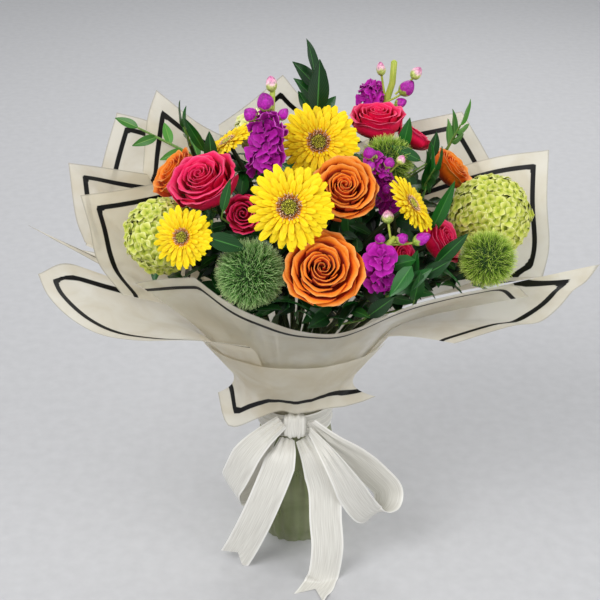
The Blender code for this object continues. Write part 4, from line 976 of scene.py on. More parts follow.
# Each spray: the node it stands for, its stalk's points and width, and its buds. A bud has the place
# of its middle, the point that its stalk leaves from, its length and width, and its material
SPRAYS = (
    ("stock_shoot_left", ("stock_shoot_left",), 0.0028,
     ((-0.026, -0.058, 0.530), (-0.0235, -0.054, 0.556), (-0.0225, -0.048, 0.580)), (
        ((-0.0300, -0.060, 0.5705), (-0.025, -0.055, 0.552), 0.022, 0.0175, PURPLE_BUD),
        ((-0.0455, -0.060, 0.5570), (-0.027, -0.056, 0.545), 0.0165, 0.0150, PURPLE_BUD),
        ((-0.0115, -0.060, 0.5575), (-0.023, -0.055, 0.546), 0.0160, 0.0110, PURPLE_BUD),
        ((-0.0238, -0.050, 0.5870), (-0.0225, -0.048, 0.576), 0.0180, 0.0122, BLUSH_BUD))),
    ("stock_shoot_top", ("stock_shoot_top",), 0.0036,
     ((0.1000, 0.0900, 0.505), (0.1050, 0.0905, 0.522), (0.1115, 0.0905, 0.545), (0.1128, 0.090, 0.5695)), (
        ((0.0980, 0.090, 0.5615), (0.1035, 0.090, 0.528), 0.0170, 0.0105, BLUSH_BUD),
        ((0.1383, 0.088, 0.5570), (0.1150, 0.088, 0.532), 0.0165, 0.0130, BLUSH_BUD),
        ((0.1280, 0.086, 0.5400), (0.1070, 0.088, 0.524), 0.0220, 0.0165, PURPLE_BUD),
        ((0.1215, 0.086, 0.5225), (0.1045, 0.089, 0.520), 0.0150, 0.0120, PURPLE_BUD))),
    ("stock_centre", (), 0.0020,
     ((0.104, -0.058, 0.452), (0.094, -0.060, 0.486), (0.086, -0.062, 0.512)), (
        ((0.0785, -0.068, 0.5175), (0.087, -0.062, 0.498), 0.0150, 0.0130, PURPLE_BUD),
        ((0.1000, -0.066, 0.5060), (0.092, -0.061, 0.490), 0.0130, 0.0112, PURPLE_BUD),
        ((0.1125, -0.062, 0.5075), (0.093, -0.060, 0.486), 0.0115, 0.0095, BLUSH_BUD),
        ((0.0795, -0.070, 0.5040), (0.089, -0.062, 0.492), 0.0120, 0.0105, PURPLE_BUD),
        ((0.0978, -0.074, 0.4791), (0.096, -0.060, 0.470), 0.0120, 0.0105, PURPLE_BUD))),
    ("stock_right", (), 0.0030,
     ((0.0740, -0.134, 0.4230), (0.0840, -0.130, 0.4275), (0.0960, -0.126, 0.4380), (0.1040, -0.122, 0.4440)), (
        ((0.0885, -0.130, 0.4466), (0.0880, -0.128, 0.4320), 0.0120, 0.0105, PURPLE_BUD),
        ((0.1115, -0.125, 0.4445), (0.0990, -0.124, 0.4400), 0.0140, 0.0120, PURPLE_BUD),
        ((0.1320, -0.122, 0.4430), (0.1010, -0.123, 0.4370), 0.0210, 0.0125, PURPLE_BUD),
        ((0.0970, -0.112, 0.4636), (0.1000, -0.122, 0.4420), 0.0145, 0.0125, BLUSH_BUD))),
)


def spray(name, nodes, width, stem, buds):
    """A stalk that tapers to a rounded end, and buds on thin stalks of their own."""
    line = [Vector(p) for p in stem]
    line.append(line[-1] + (line[-1] - line[-2]).normalized() * 0.6 * width)
    radii = [width * (1.15 - 0.2 * i / len(stem)) for i in range(len(stem))] + [0.4 * width]
    stalks = [tube(name, line, radii, 12)]
    for middle, start, length, wide, _ in buds:
        middle, start = Vector(middle), Vector(start)
        way = (middle - start).normalized().lerp(Vector((0, 0, 1)), 0.25).normalized()
        end = middle - way * 0.45 * length
        bow = start.lerp(end, 0.6) - way * 0.0015
        line = (start, bow, end, end + way * 0.1 * length)
        stalks.append(tube(name, line, (0.0013, 0.0012, 0.0013, 0.0020), 8))
    finish_piece(name + "_stalk", merged(name, stalks), STOCK_STALK, "stock_bud", *nodes)
    for material in (PURPLE_BUD, BLUSH_BUD):
        turns = []
        for middle, start, length, wide, kind in buds:
            if kind is material:
                way = (Vector(middle) - Vector(start)).normalized().lerp(Vector((0, 0, 1)), 0.25)
                size = Matrix.Diagonal((wide, wide, length, 1))
                turns.append(placed(middle, way, 40 * len(turns)) @ size @ Matrix.Translation((0, 0, -0.5)))
        if turns:
            tint = "purple" if material is PURPLE_BUD else "blush"
            finish_piece(name + "_buds_" + tint, copies(name, BUD, turns), material, "stock_bud")


for row in SPRAYS:
    spray(*row)
print("buds:", {k: v for k, v in TRIANGLES.items() if "buds" in k and "stock" in k})

# %% [markdown]
# ## Leaves
#
# A leaf blade is widest below its middle, folds up a little along its rib and bends down at its tip.
# Ruscus leaves are small and stiff, and the darker foliage is broader and glossy. Sprigs of them
# stand among the blooms. A layer of loose leaves fills the bouquet under the blooms, as a florist
# packs it, so that no gap shows bare stems.

# %% Sprigs of leaves
LEAF_SWING = 48.0
SPRIGS = (
    ("ruscus_left", LIGHT_LEAF, (-0.100, 0.034, 0.470), (-0.178, 0.056, 0.503), 0.030, 0.010, 5),
    ("foliage_left_back", DARK_LEAF, (-0.116, 0.022, 0.494), (-0.122, 0.016, 0.518), 0.034, 0.013, 3),
    ("foliage_top", DARK_LEAF, (0.026, 0.050, 0.520), (0.022, 0.064, 0.562), 0.042, 0.016, 5),
    ("ruscus_right", LIGHT_LEAF, (0.176, 0.076, 0.470), (0.190, 0.074, 0.500), 0.034, 0.010, 5),
    ("foliage_right", DARK_LEAF, (0.142, -0.010, 0.455), (0.152, -0.030, 0.486), 0.040, 0.015, 5),
    ("foliage_front", DARK_LEAF, (0.090, -0.112, 0.372), (0.134, -0.128, 0.404), 0.036, 0.014, 5),
    ("foliage_centre", DARK_LEAF, (-0.085, -0.092, 0.432), (-0.086, -0.108, 0.446), 0.032, 0.012, 3),
)


def leaf_grid(length, width, droop=0.16, rows=10, columns=7):
    """A pointed blade along +Y, with its rib at X = 0."""
    t = np.linspace(0, 1, rows)[:, None]
    s = np.linspace(-1, 1, columns)[None, :]
    half = width / 2 * np.clip(np.sin(math.pi * t ** 0.80) ** 0.85, 0.03, 1)
    x = s * half
    fold = 0.28 * np.abs(s) * half
    z = fold - droop * length * t ** 2 + 0.015 * length * np.sin(9 * t) * s ** 2
    return np.stack((x, length * t + 0 * s, z), -1), t + 0 * s, s + 0 * t


def leaf_turns(root, tip, count):
    """Place and rotation of each leaf of a sprig: to either side, and one at the end."""
    along = (tip - root).normalized()
    outward = Vector((tip.x, tip.y - 0.05, 0.12)).normalized()
    across = along.cross(outward).normalized()
    normal = across.cross(along)
    for i in range(count):
        last = i == count - 1
        share = 1.0 if last else (i + 0.6) / count
        swing = 0.0 if last else (LEAF_SWING if i % 2 else -LEAF_SWING)
        way = Matrix.Rotation(math.radians(swing), 3, normal) @ along
        lifted = Matrix.Rotation(math.radians(16 - 8 * (i % 3)), 3, across) @ normal
        x = way.cross(lifted).normalized()
        turn = Matrix((x, way, x.cross(way))).transposed().to_4x4()
        yield Matrix.Translation(root.lerp(tip, share) - way * 0.001) @ turn


for name, material, root, tip, length, width, count in SPRIGS:
    root, tip = Vector(root), Vector(tip)
    rng = random.Random(name)
    grid, along, across = leaf_grid(length, 1.12 * width)
    grids = [moved(grid, turn) for turn in leaf_turns(root, tip, count)]
    tone = [np.full_like(along, rng.random()) for _ in grids]
    blades = solid_sheets(name, grids, 0.0005, along=[along] * count, across=[across] * count, tone=tone)
    slot = "light_leaf" if material is LIGHT_LEAF else "dark_leaf"
    finish_piece(name + "_blades", blades, material, slot, name)
    stalk = tube(name, (root, root.lerp(tip, 0.5), tip), (0.0018, 0.0016, 0.0011), 6)
    finish_piece(name + "_stalk", stalk, GREEN_STEM, slot)

# Single leaves that reach out between the blooms: root, tip, width, and the way that the face turns
LONE_LEAVES = (
    ((-0.0899, -0.126, 0.4465), (-0.0499, -0.130, 0.4350), 0.020, 52, 0),
    ((-0.0740, -0.112, 0.4690), (-0.0654, -0.116, 0.5069), 0.011, 75, -25),
    ((0.1448, -0.078, 0.4300), (0.1682, -0.084, 0.4916), 0.015, 75, 10),
    ((0.1480, -0.112, 0.4090), (0.1805, -0.118, 0.4470), 0.015, 60, 10),
    ((0.1030, -0.136, 0.3870), (0.1430, -0.138, 0.4170), 0.017, 55, 20),
    ((0.0770, -0.144, 0.3640), (0.1035, -0.148, 0.3880), 0.017, 60, 5),
    ((0.1252, -0.136, 0.3770), (0.1309, -0.142, 0.4144), 0.016, 62, 25),
    ((0.1440, -0.012, 0.4530), (0.1512, -0.014, 0.4926), 0.019, 60, 30),
    ((0.1502, 0.000, 0.4860), (0.1556, 0.000, 0.5171), 0.013, 55, 20),
    ((0.1365, -0.030, 0.4950), (0.1037, -0.028, 0.5117), 0.013, 50, 0),
    ((0.1176, -0.005, 0.4970), (0.1251, -0.005, 0.5348), 0.014, 60, 0),
    ((-0.0892, -0.028, 0.4890), (-0.0917, -0.024, 0.5260), 0.015, 70, -10),
    ((-0.0998, 0.020, 0.4870), (-0.1218, 0.020, 0.5264), 0.012, 60, -20),
    ((0.0250, 0.040, 0.5244), (0.0281, 0.046, 0.5850), 0.024, 72, 10),
    ((0.0194, 0.044, 0.5230), (0.0040, 0.050, 0.5480), 0.013, 60, 0),
    ((0.0306, 0.044, 0.5230), (0.0460, 0.050, 0.5420), 0.013, 60, 0),
    ((0.0604, -0.118, 0.4170), (0.0749, -0.137, 0.3928), 0.014, 50, 10),
    ((-0.1010, -0.060, 0.4560), (-0.1240, -0.075, 0.4740), 0.010, 60, -30),
)
turns, stalks = [], []
for root, tip, width, lean, side in LONE_LEAVES:
    root, tip = Vector(root), Vector(tip)
    length, way = (tip - root).length, (tip - root).normalized()
    x = way.cross(facing(lean, side)).normalized()
    turn = Matrix((x, way, x.cross(way))).transposed().to_4x4()
    turns.append(Matrix.Translation(root) @ turn @ Matrix.Diagonal((width, length, length, 1)))
    inside = root - way * 0.014 - Vector((root.x * 0.28, root.y * 0.28, 0.022))
    stalks.append(tube("stalk", (inside, root - way * 0.007, root + way * 0.003), (0.0012, 0.0011, 0.0008), 6))
grid, along, across = leaf_grid(1.0, 1.0, 0.10, 14, 9)
grid[..., 2] *= 0.30
blade = solid_sheets("blade", grid[None], 0.012, along=along, across=across)
finish_piece("lone_leaf_blades", copies("lone_leaf", blade, turns), DARK_LEAF, "dark_leaf")
finish_piece("lone_leaf_stalks", merged("lone_leaf_stalks", stalks), GREEN_STEM, "stem")
print("sprigs:", sum(v for k, v in TRIANGLES.items() if "blades" in k), "triangles")

# %% [markdown]
# The filling leaves lie on a smooth surface some way under the blooms. Its height at any place is a
# mean of the blooms' own heights, in which near blooms count most. The points tree then scatters the
# leaves over it, each turned its own way round the surface's normal. The plain film sheets of the CAD
# model say how much room there is: places move in from them, and a leaf that still passes one is left out.

# %% Filling leaves
HEAD_DEPTH = 0.55
FILM_CLEARANCE = 0.012
NO_FILM = 1.0
bloom_places = [(Vector(m), r, facing(lean, side)) for _, _, m, r, lean, side in ROSES]
bloom_places += [(Vector(m), 0.6 * r, facing(lean, side)) for _, m, r, lean, side in GERBERAS]
bloom_places += [(Vector(m), r, facing(lean, side)) for _, _, m, r, lean, side in HYDRANGEAS + GREEN_HEADS]


def fill_height(x, y):
    weights, heights = 0.0, 0.0
    for middle, radius, way in bloom_places:
        seat = middle - way * HEAD_DEPTH * radius
        weight = 1 / ((seat.x - x) ** 2 + (seat.y - y) ** 2 + 0.0012) ** 2
        weights += weight
        heights += weight * (seat.z - 0.012)
    return heights / weights


def film_walls():
    """The sheets that stand round the blooms, ready for asking where a ray meets one."""
    vertices, faces = [], []
    for name, node in sorted(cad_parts.items()):
        if name.startswith("film_") and name not in ("film_collar", "film_sleeve"):
            start = len(vertices)
            vertices += [vertex.co.copy() for vertex in node.data.vertices]
            faces += [[start + i for i in face.vertices] for face in node.data.polygons]
    return BVHTree.FromPolygons(vertices, faces)


FILM_WALLS = film_walls()


def film_distance(x, y, height):
    """How far from the middle the film stands in the direction of a place."""
    place, _, _, distance = FILM_WALLS.ray_cast(Vector((0, 0, height)), Vector((x, y, 0)))
    return distance if place else NO_FILM


def without_passing_leaves(mesh, count):
    """The same leaves without those that would pass through the film."""
    shape = bmesh.new()
    shape.from_mesh(mesh)
    shape.verts.ensure_lookup_table()
    each = len(shape.verts) // count
    passing = []
    for first in range(0, len(shape.verts), each):
        leaf = shape.verts[first:first + each]
        if any(math.hypot(v.co.x, v.co.y) + FILM_CLEARANCE > film_distance(*v.co) for v in leaf):
            passing += leaf
    bmesh.ops.delete(shape, geom=passing, context="VERTS")
    shape.to_mesh(mesh)
    shape.free()
    return mesh


def clear_height(x, y, height, size):
    """A leaf slides down until it is clear of every bloom above it."""
    while any((Vector((x, y, height)) - m).length < 0.95 * r + 0.45 * size for m, r, _ in bloom_places):
        height -= 0.003
    return height


def filling(name, count, centre, reach, drop, material, seed, size):
    """Leaves on a spiral over an oval, pulled in where the film is narrower."""
    places, axes = [], []
    golden = math.pi * (3 - math.sqrt(5))
    for i in range(count):
        out = math.sqrt((i + 0.5) / count)
        x = centre[0] + reach[0] * out * math.cos(golden * i + seed)
        y = centre[1] + reach[1] * out * math.sin(golden * i + seed)
        height = clear_height(x, y, fill_height(x, y) - drop, size)
        pull = min(1.0, (film_distance(x, y, height) - 0.95 * size) / math.hypot(x, y))
        x, y = x * pull, y * pull
        height = clear_height(x, y, height, size)
        step = 0.012
        slope_x = (fill_height(x + step, y) - fill_height(x - step, y)) / (2 * step)
        slope_y = (fill_height(x, y + step) - fill_height(x, y - step)) / (2 * step)
        places.append(Vector((x, y, height)))
        axes.append(Vector((-slope_x, -slope_y, 1)).normalized())
    grid, along, across = leaf_grid(1.0, 0.46, 0.3, 6, 5)
    leaf = seed_object("leaf", solid_sheets("leaf", grid[None], 0.014, along=along, across=across))
    mesh = on_points(name, places, axes, leaf, material, size=size, size_variation=0.3,
                     lean=0.60, turn=math.tau, seed=seed)
    finish_piece(name, without_passing_leaves(mesh, count), material, "dark_leaf")


filling("filling_leaves", 230, (0.036, -0.034), (0.185, 0.120), 0.010, DARK_LEAF, 5, 0.030)
# The two lower layers take the nearly black painted-shade leaf colour, and the lowest layer is there to darken
# the gap under the front blooms as painted shade
filling("deep_filling_leaves", 300, (0.036, -0.034), (0.165, 0.120), 0.034, PAINTED_SHADE_LEAF, 11, 0.036)
filling("low_filling_leaves", 110, (0.020, -0.062), (0.095, 0.042), 0.058, PAINTED_SHADE_LEAF, 17, 0.034)
print("filling:", sum(v for k, v in TRIANGLES.items() if "filling" in k), "triangles")

# %% [markdown]
# ## Stems
#
# Thirty-one stems meet in the florist's hand. Each is a tube on a smooth curve from under its bloom
# to its own place in the bundle, and below the tie the stems spread again, turned a little, as a
# spiral-tied bunch does. The cut ends stand on the table.

# %% Stems and tie
TIE_HEIGHT = 0.168
STEM_RADIUS = 0.0028
STEM_SPACING = 0.0044
FOOT_SPREAD = 1.35
FOOT_TWIST = 28.0
GAP = 0.0003


def stem_ends():
    """Where each stem meets its bloom or sprig, and the way it points there."""
    ends = [(Vector(m), facing(lean, side), 0.50 * r) for _, _, m, r, lean, side in ROSES]
    ends += [(Vector(m), facing(lean, side), 0.007) for _, m, _, lean, side in GERBERAS]
    heads = HYDRANGEAS + GREEN_HEADS
    ends += [(Vector(m), facing(lean, side), CALYX_REACH * r) for _, _, m, r, lean, side in heads]
    for _, foot, top, floret_radius, _ in STOCKS:
        ends.append((Vector(foot), (Vector(top) - Vector(foot)).normalized(), 0.35 * floret_radius))
    for _, _, root, tip, _, _, _ in SPRIGS:
        ends.append((Vector(root), (Vector(tip) - Vector(root)).normalized(), 0.0))
    return [(spot - way * (depth + GAP), way) for spot, way, depth in ends]


def stem_slots(ends):
    """Each stem takes the free place in the bundle that lies nearest to its own side."""
    order = sorted(ends, key=lambda end: end[0].xy.length)
    golden = math.pi * (3 - math.sqrt(5))
    free = [(STEM_SPACING * math.sqrt(i), golden * i) for i in range(1, len(order))]
    chosen = [((0.0, 0.0), order[0])]
    for end in reversed(order[1:]):
        side = math.atan2(end[0].y, end[0].x)
        best = max(free, key=lambda slot: slot[0] * math.cos(slot[1] - side))
        free.remove(best)
        chosen.append((best, end))
    return chosen


stem_tubes = []
for (ring, angle), (end, way) in stem_slots(stem_ends()):
    slot = Vector((ring * math.cos(angle), ring * math.sin(angle), TIE_HEIGHT))
    turn = angle + math.radians(FOOT_TWIST)
    foot = Vector((FOOT_SPREAD * ring * math.cos(turn), FOOT_SPREAD * ring * math.sin(turn), 0))
    reach = (end - slot).length
    rise = slot + Vector((slot.x * 0.6, slot.y * 0.6, 0.42 * reach))
    line = [foot.lerp(slot, k / 3) for k in range(3)]
    line += [bezier((slot, rise, end - way * 0.30 * reach, end), k / 12) for k in range(13)]
    radii = [STEM_RADIUS] * (len(line) - 1) + [0.8 * STEM_RADIUS]
    stem_tubes.append(tube("stem", line, radii, 8, Vector((0, 0, 1)), way))
finish_piece("flower_stems", merged("flower_stems", stem_tubes), SHADE_PAINTED_FLOWER_STEM, "stem", "stems")


def twine_material():
    """Jute twine: strands lie side by side round the tie, 2 mm apart, and slant across it."""
    material, tree, surface = new_material("jute_twine", 0.9)
    spot = add(tree, "ShaderNodeTexCoord").outputs["Object"]
    strands = add(tree, "ShaderNodeTexWave", {
        "Vector": spot, "Scale": 80.0, "Distortion": 3.0, "Detail": 2.0}, bands_direction="Z").outputs["Fac"]
    colour = ramp(tree, strands, ((0.1, "#6a5230"), (0.9, "#b89a68")))
    tree.links.new(colour, surface.inputs["Base Color"])
    bump = add(tree, "ShaderNodeBump", {"Height": strands, "Strength": 0.8, "Distance": 0.001})
    tree.links.new(bump.outputs[0], surface.inputs["Normal"])
    return material


tie = bpy.data.objects["tie"]
for place in tie.material_slots:
    place.material = twine_material()
print("stems:", len(stem_tubes), "with", TRIANGLES["flower_stems"], "triangles")

# %% [markdown]
# ## Frosted film
#
# The wrap is matt plastic film, about 0.1 mm thick, cut in squares of 58 cm with a printed black line
# near the edge. It lets light through but blurs it, so shapes behind it are seen only faintly. The
# shader mixes a matt white surface with light from behind, and leaves part of the surface open. The
# printed line and the cut edge come from each point's distance to the edge, in millimetres, which
# is measured while the sheet is laid out.

# %% Film material
EDGE_LINE = (14.0, 19.5)


def film_material(name, cover, shaded, bright):
    material, tree, surface = new_material(name, 0.42, 1.5)
    edge = add(tree, "ShaderNodeAttribute", attribute_name="edge_mm").outputs["Fac"]
    inner = add(tree, "ShaderNodeMapRange", {
        "Value": edge, "From Min": EDGE_LINE[0] - 0.3, "From Max": EDGE_LINE[0] + 0.3}).outputs[0]
    outer = add(tree, "ShaderNodeMapRange", {
        "Value": edge, "From Min": EDGE_LINE[1] + 0.3, "From Max": EDGE_LINE[1] - 0.3}).outputs[0]
    line = add(tree, "ShaderNodeMath", {0: inner, 1: outer}, operation="MULTIPLY").outputs[0]
    # Painted shade: the last 1.6 mm of the sheet is painted grey and made more solid, for the cut edge seen on
    # its side
    rim = add(tree, "ShaderNodeMapRange", {
        "Value": edge, "From Min": 1.6, "From Max": 0.4, "To Max": 0.55}).outputs[0]
    # Faint creases, a few centimetres long, are painted as lighter and darker streaks: painted highlight and
    # shade on the creases
    spot = add(tree, "ShaderNodeTexCoord").outputs["Object"]
    crease = add(tree, "ShaderNodeTexNoise", {
        "Vector": spot, "Scale": 22.0, "Detail": 4.0, "Distortion": 0.8}).outputs["Fac"]
    milky = ramp(tree, crease, ((0.35, shaded), (0.65, bright)))
    edged = add(tree, "ShaderNodeMix", {"Factor": rim, 6: milky, 7: linear("#a8a498")}, data_type="RGBA")
    inked = add(tree, "ShaderNodeMix", {
        "Factor": line, 6: edged.outputs[2], 7: linear("#0c0c0e")}, data_type="RGBA").outputs[2]
    tree.links.new(inked, surface.inputs["Base Color"])
    grain = add(tree, "ShaderNodeBump", {"Height": crease, "Strength": 0.25, "Distance": 0.002})
    tree.links.new(grain.outputs[0], surface.inputs["Normal"])
    through = add(tree, "ShaderNodeBsdfTranslucent", {"Color": inked})
    lit = add(tree, "ShaderNodeMixShader", {0: 0.42, 1: surface.outputs[0], 2: through.outputs[0]})
    open_part = add(tree, "ShaderNodeBsdfTransparent")
    solid = add(tree, "ShaderNodeMath", {0: line, 1: cover}, operation="MAXIMUM").outputs[0]
    firm = add(tree, "ShaderNodeMath", {0: solid, 1: rim}, operation="MAXIMUM").outputs[0]
    mixed = add(tree, "ShaderNodeMixShader", {0: firm, 1: open_part.outputs[0], 2: lit.outputs[0]})
    tree.links.new(mixed.outputs[0], tree.nodes["Material Output"].inputs["Surface"])
    return material


FROSTED_FILM = film_material("frosted_film_sheet", 0.60, "#f0e8d4", "#fcf8ec")
# The sleeve is creased tighter; it is the same film painted darker as painted shade, with the green of the wet
# stems behind it painted in
SLEEVE_FILM_PAINTED_SHADE = film_material("frosted_film_sleeve_painted_shade", 0.45, "#b0b48c", "#ccd0ac")
print("film line from", EDGE_LINE[0], "to", EDGE_LINE[1], "mm")

# %% [markdown]
# Each sheet starts at the neck, runs up the cone and bends out to its free edge. A fine grid follows
# the same lines as the plain model. The free edge is a smooth curve that keeps the sheet's corner
# sharp, and soft pleats fan out from the neck, deepest just above the ribbon.

# %% Film sheets
FILM_THICKNESS = 0.0003
INNER_LAYER_RADIUS = 0.0331
NECK_STEP = 0.0014
NECK_LOW = 0.150
NECK_TOP = 0.185
SHOULDER_RADIUS = 0.100
SHOULDER_STEP = 0.0045
SHOULDER_HEIGHT = 0.300
SHOULDER_LEAD = 0.020
# Name, layer from the inside, corners as places in the list, and the points of the free edge
SHEETS = (
    ("film_left_inner", 0, (3,), (
        (-0.190, -0.066, 0.352), (-0.220, -0.030, 0.375), (-0.229, -0.015, 0.411),
        (-0.239, 0.000, 0.443), (-0.196, 0.008, 0.446), (-0.157, 0.016, 0.451),
        (-0.124, 0.024, 0.457),
    )),
    ("film_left", 1, (2,), (
        (-0.238, 0.000, 0.386), (-0.249, 0.015, 0.412), (-0.256, 0.036, 0.468),
        (-0.222, 0.062, 0.453), (-0.173, 0.080, 0.438),
    )),
    ("film_back_left", 2, (2,), (
        (-0.178, 0.084, 0.440), (-0.170, 0.084, 0.503), (-0.159, 0.095, 0.535),
        (-0.114, 0.105, 0.493), (-0.077, 0.108, 0.471), (-0.052, 0.110, 0.455),
    )),
    ("film_back_left_outer", 3, (2,), (
        (-0.242, 0.028, 0.370), (-0.225, 0.078, 0.448), (-0.208, 0.110, 0.503),
        (-0.173, 0.122, 0.489), (-0.141, 0.130, 0.471), (-0.118, 0.133, 0.456),
    )),
    ("film_back", 3, (2,), (
        (-0.090, 0.118, 0.485), (-0.055, 0.124, 0.509), (-0.014, 0.128, 0.543),
        (0.013, 0.130, 0.512), (0.061, 0.132, 0.488), (0.099, 0.130, 0.465),
    )),
    ("film_back_right", 2, (3,), (
        (0.068, 0.120, 0.458), (0.127, 0.122, 0.484), (0.161, 0.116, 0.495),
        (0.195, 0.108, 0.505), (0.225, 0.096, 0.457), (0.246, 0.082, 0.418),
        (0.256, 0.068, 0.378),
    )),
    ("film_right", 1, (2, 5), (
        (0.118, 0.082, 0.420), (0.221, 0.070, 0.460), (0.291, 0.060, 0.475),
        (0.289, 0.035, 0.423), (0.290, 0.005, 0.380), (0.281, -0.020, 0.352),
        (0.215, -0.040, 0.360),
    )),
    ("film_left_tip", 4, (3,), (
        (-0.215, 0.045, 0.350), (-0.262, 0.040, 0.362), (-0.290, 0.015, 0.392),
        (-0.297, -0.015, 0.413), (-0.185, -0.024, 0.348),
    )),
    ("film_front_left", 5, (2,), (
        (-0.190, -0.010, 0.330), (-0.252, -0.022, 0.369), (-0.285, -0.045, 0.367),
        (-0.269, -0.078, 0.356), (-0.241, -0.106, 0.342), (-0.205, -0.128, 0.334),
        (-0.163, -0.143, 0.335), (-0.108, -0.152, 0.340), (-0.052, -0.156, 0.336),
    )),
    ("film_front", 4, (2,), (
        (-0.169, -0.108, 0.386), (-0.135, -0.132, 0.402), (-0.103, -0.148, 0.411),
        (-0.068, -0.160, 0.388), (-0.035, -0.165, 0.373), (0.006, -0.168, 0.359),
        (0.053, -0.166, 0.357), (0.119, -0.160, 0.384), (0.161, -0.152, 0.392),
        (0.204, -0.140, 0.395), (0.232, -0.126, 0.391), (0.249, -0.112, 0.372),
    )),
    ("film_front_right", 5, (6,), (
        (0.170, -0.140, 0.330), (0.232, -0.112, 0.336), (0.266, -0.100, 0.335),
        (0.287, -0.090, 0.347), (0.304, -0.076, 0.361), (0.320, -0.066, 0.368),
        (0.336, -0.052, 0.382), (0.260, -0.030, 0.345),
    )),
)


def curve_through(points, corners=(), spacing=0.005):
    """A smooth line through points, with its bends kept sharp at the corners."""
    points = np.array(points, dtype=float)
    stops = [0, *corners, len(points) - 1]
    line = []
    for first, last in zip(stops[:-1], stops[1:]):
        run = points[first:last + 1]
        run = np.vstack((2 * run[0] - run[1], run, 2 * run[-1] - run[-2]))
        for i in range(1, len(run) - 2):
            a, b, c, d = run[i - 1:i + 3]
            steps = max(2, round(float(np.linalg.norm(c - b)) / spacing))
            for k in range(steps):
                t = k / steps
                line.append(0.5 * (2 * b + (c - a) * t + (2 * a - 5 * b + 4 * c - d) * t * t
                                   + (3 * b - a - 3 * c + d) * t ** 3))
    line.append(points[-1])
    return np.array(line)


def cone_radius(height, layer):
    neck = INNER_LAYER_RADIUS + layer * NECK_STEP
    shoulder = SHOULDER_RADIUS + layer * SHOULDER_STEP
    share = np.maximum(0, (height - NECK_TOP) / (SHOULDER_HEIGHT - NECK_TOP))
    return neck + share * (shoulder - neck)


def pleat(angle, height):
    """How far a pleat pushes the film in or out. All layers share it, so they stay nested."""
    depth = np.interp(height, (0.185, 0.202, 0.235, 0.300, 0.360), (0, 0.0020, 0.0024, 0.0011, 0))
    return depth * (0.6 * np.sin(17 * angle + 3 * np.sin(2 * angle)) + 0.4 * np.sin(29 * angle + 1.3))


def distance_to_line(points, line):
    """Shortest distance from each point to a line of short straight pieces, in millimetres."""
    flat = points.reshape(-1, 1, 3)
    a, b = line[:-1][None], line[1:][None]
    way = b - a
    share = np.clip(((flat - a) * way).sum(-1) / (way * way).sum(-1), 0, 1)
    nearest = a + way * share[..., None]
    gap = np.linalg.norm(flat - nearest, axis=-1).min(1)
    return 1000 * gap.reshape(points.shape[:-1])


def film_grid(layer, rim, seed):
    """Rows run along the rim; columns run from the neck up to the rim."""
    shoulder = np.array((cone_radius(SHOULDER_HEIGHT, layer), SHOULDER_HEIGHT))
    slope = np.array((SHOULDER_RADIUS - INNER_LAYER_RADIUS, SHOULDER_HEIGHT - NECK_TOP))
    lead = shoulder + slope / np.linalg.norm(slope) * SHOULDER_LEAD
    low = np.concatenate(((NECK_LOW,), np.linspace(NECK_TOP, SHOULDER_HEIGHT, 16)))
    t = np.linspace(0, 1, 22)[1:, None]
    rng = np.random.default_rng(seed)
    waves = rng.uniform(0, math.tau, 3)
    rows = []
    for x, y, z in rim:
        edge = np.array((math.hypot(x, y), z))
        free = (1 - t) ** 2 * shoulder + 2 * t * (1 - t) * lead + t * t * edge
        profile = np.vstack((np.stack((cone_radius(low, layer), low), 1), free))
        angle = math.atan2(y, x)
        ripple = np.concatenate((np.zeros(len(low)), (t * (1 - t))[:, 0]))
        wave = 0.5 * np.sin(9 * angle + waves[0]) + 0.3 * np.sin(16 * angle + waves[1] + 4 * ripple)
        radius = profile[:, 0] + pleat(angle, profile[:, 1]) + 0.008 * ripple * wave
        rows.append(np.stack((radius * math.cos(angle), radius * math.sin(angle), profile[:, 1]), 1))
    return np.array(rows)


for number, (name, layer, corners, points) in enumerate(SHEETS):
    rim = curve_through(points, corners)
    grid = film_grid(layer, rim, number)
    edge = distance_to_line(grid, grid[:, -1])
    mesh = solid_sheets(name, grid[None], FILM_THICKNESS, edge_mm=edge[None])
    finish_piece(name + "_sheet", mesh, FROSTED_FILM, "frosted_film", name)
print("film:", sum(v for k, v in TRIANGLES.items() if k.startswith("film")), "triangles")

# %% [markdown]
# Round the lower cone the film is folded down as a collar, so its printed line runs round the
# bouquet above the bow. Below the ribbon the film gathers round the stems in an open sleeve. Both
# take their pleats from the same rule as the sheets.

# %% Collar and sleeve
COLLAR_LAYER = 5.8
COLLAR_TOP = 0.285
COLLAR_MIDDLE = 0.240
COLLAR_EDGE = (
    (196, 0.094, 0.205), (206, 0.092, 0.176), (214, 0.086, 0.171), (232, 0.071, 0.187),
    (254, 0.062, 0.200), (269, 0.062, 0.197), (286, 0.066, 0.201), (303, 0.075, 0.205),
    (320, 0.092, 0.209), (332, 0.105, 0.213),
)
SLEEVE = ((0.000, 0.0370), (0.020, 0.0460), (0.065, 0.0530), (0.153, 0.0422), (0.172, 0.0422))


def collar_grid():
    line = curve_through(COLLAR_EDGE, (), 4.0)
    rows = []
    t = np.linspace(0, 1, 18)[:, None]
    for side, radius, height in line:
        angle = math.radians(side)
        edge = np.array((radius, height))
        middle = np.array((cone_radius(COLLAR_MIDDLE, COLLAR_LAYER), COLLAR_MIDDLE))
        top = np.array((cone_radius(COLLAR_TOP, COLLAR_LAYER), COLLAR_TOP))
        lead = middle + (middle - top) * 0.6
        lower = (1 - t) ** 2 * edge + 2 * t * (1 - t) * lead + t * t * middle
        upper = middle + (top - middle) * np.linspace(0, 1, 8)[1:, None]
        profile = np.vstack((lower, upper))
        r = profile[:, 0] + 0.5 * pleat(angle, profile[:, 1])
        rows.append(np.stack((r * math.cos(angle), r * math.sin(angle), profile[:, 1]), 1))
    return np.array(rows)


collar = collar_grid()
edge = distance_to_line(collar, collar[:, 0])
mesh = solid_sheets("collar", collar[None], FILM_THICKNESS, edge_mm=edge[None])
finish_piece("film_collar_sheet", mesh, FROSTED_FILM, "frosted_film", "film_collar")


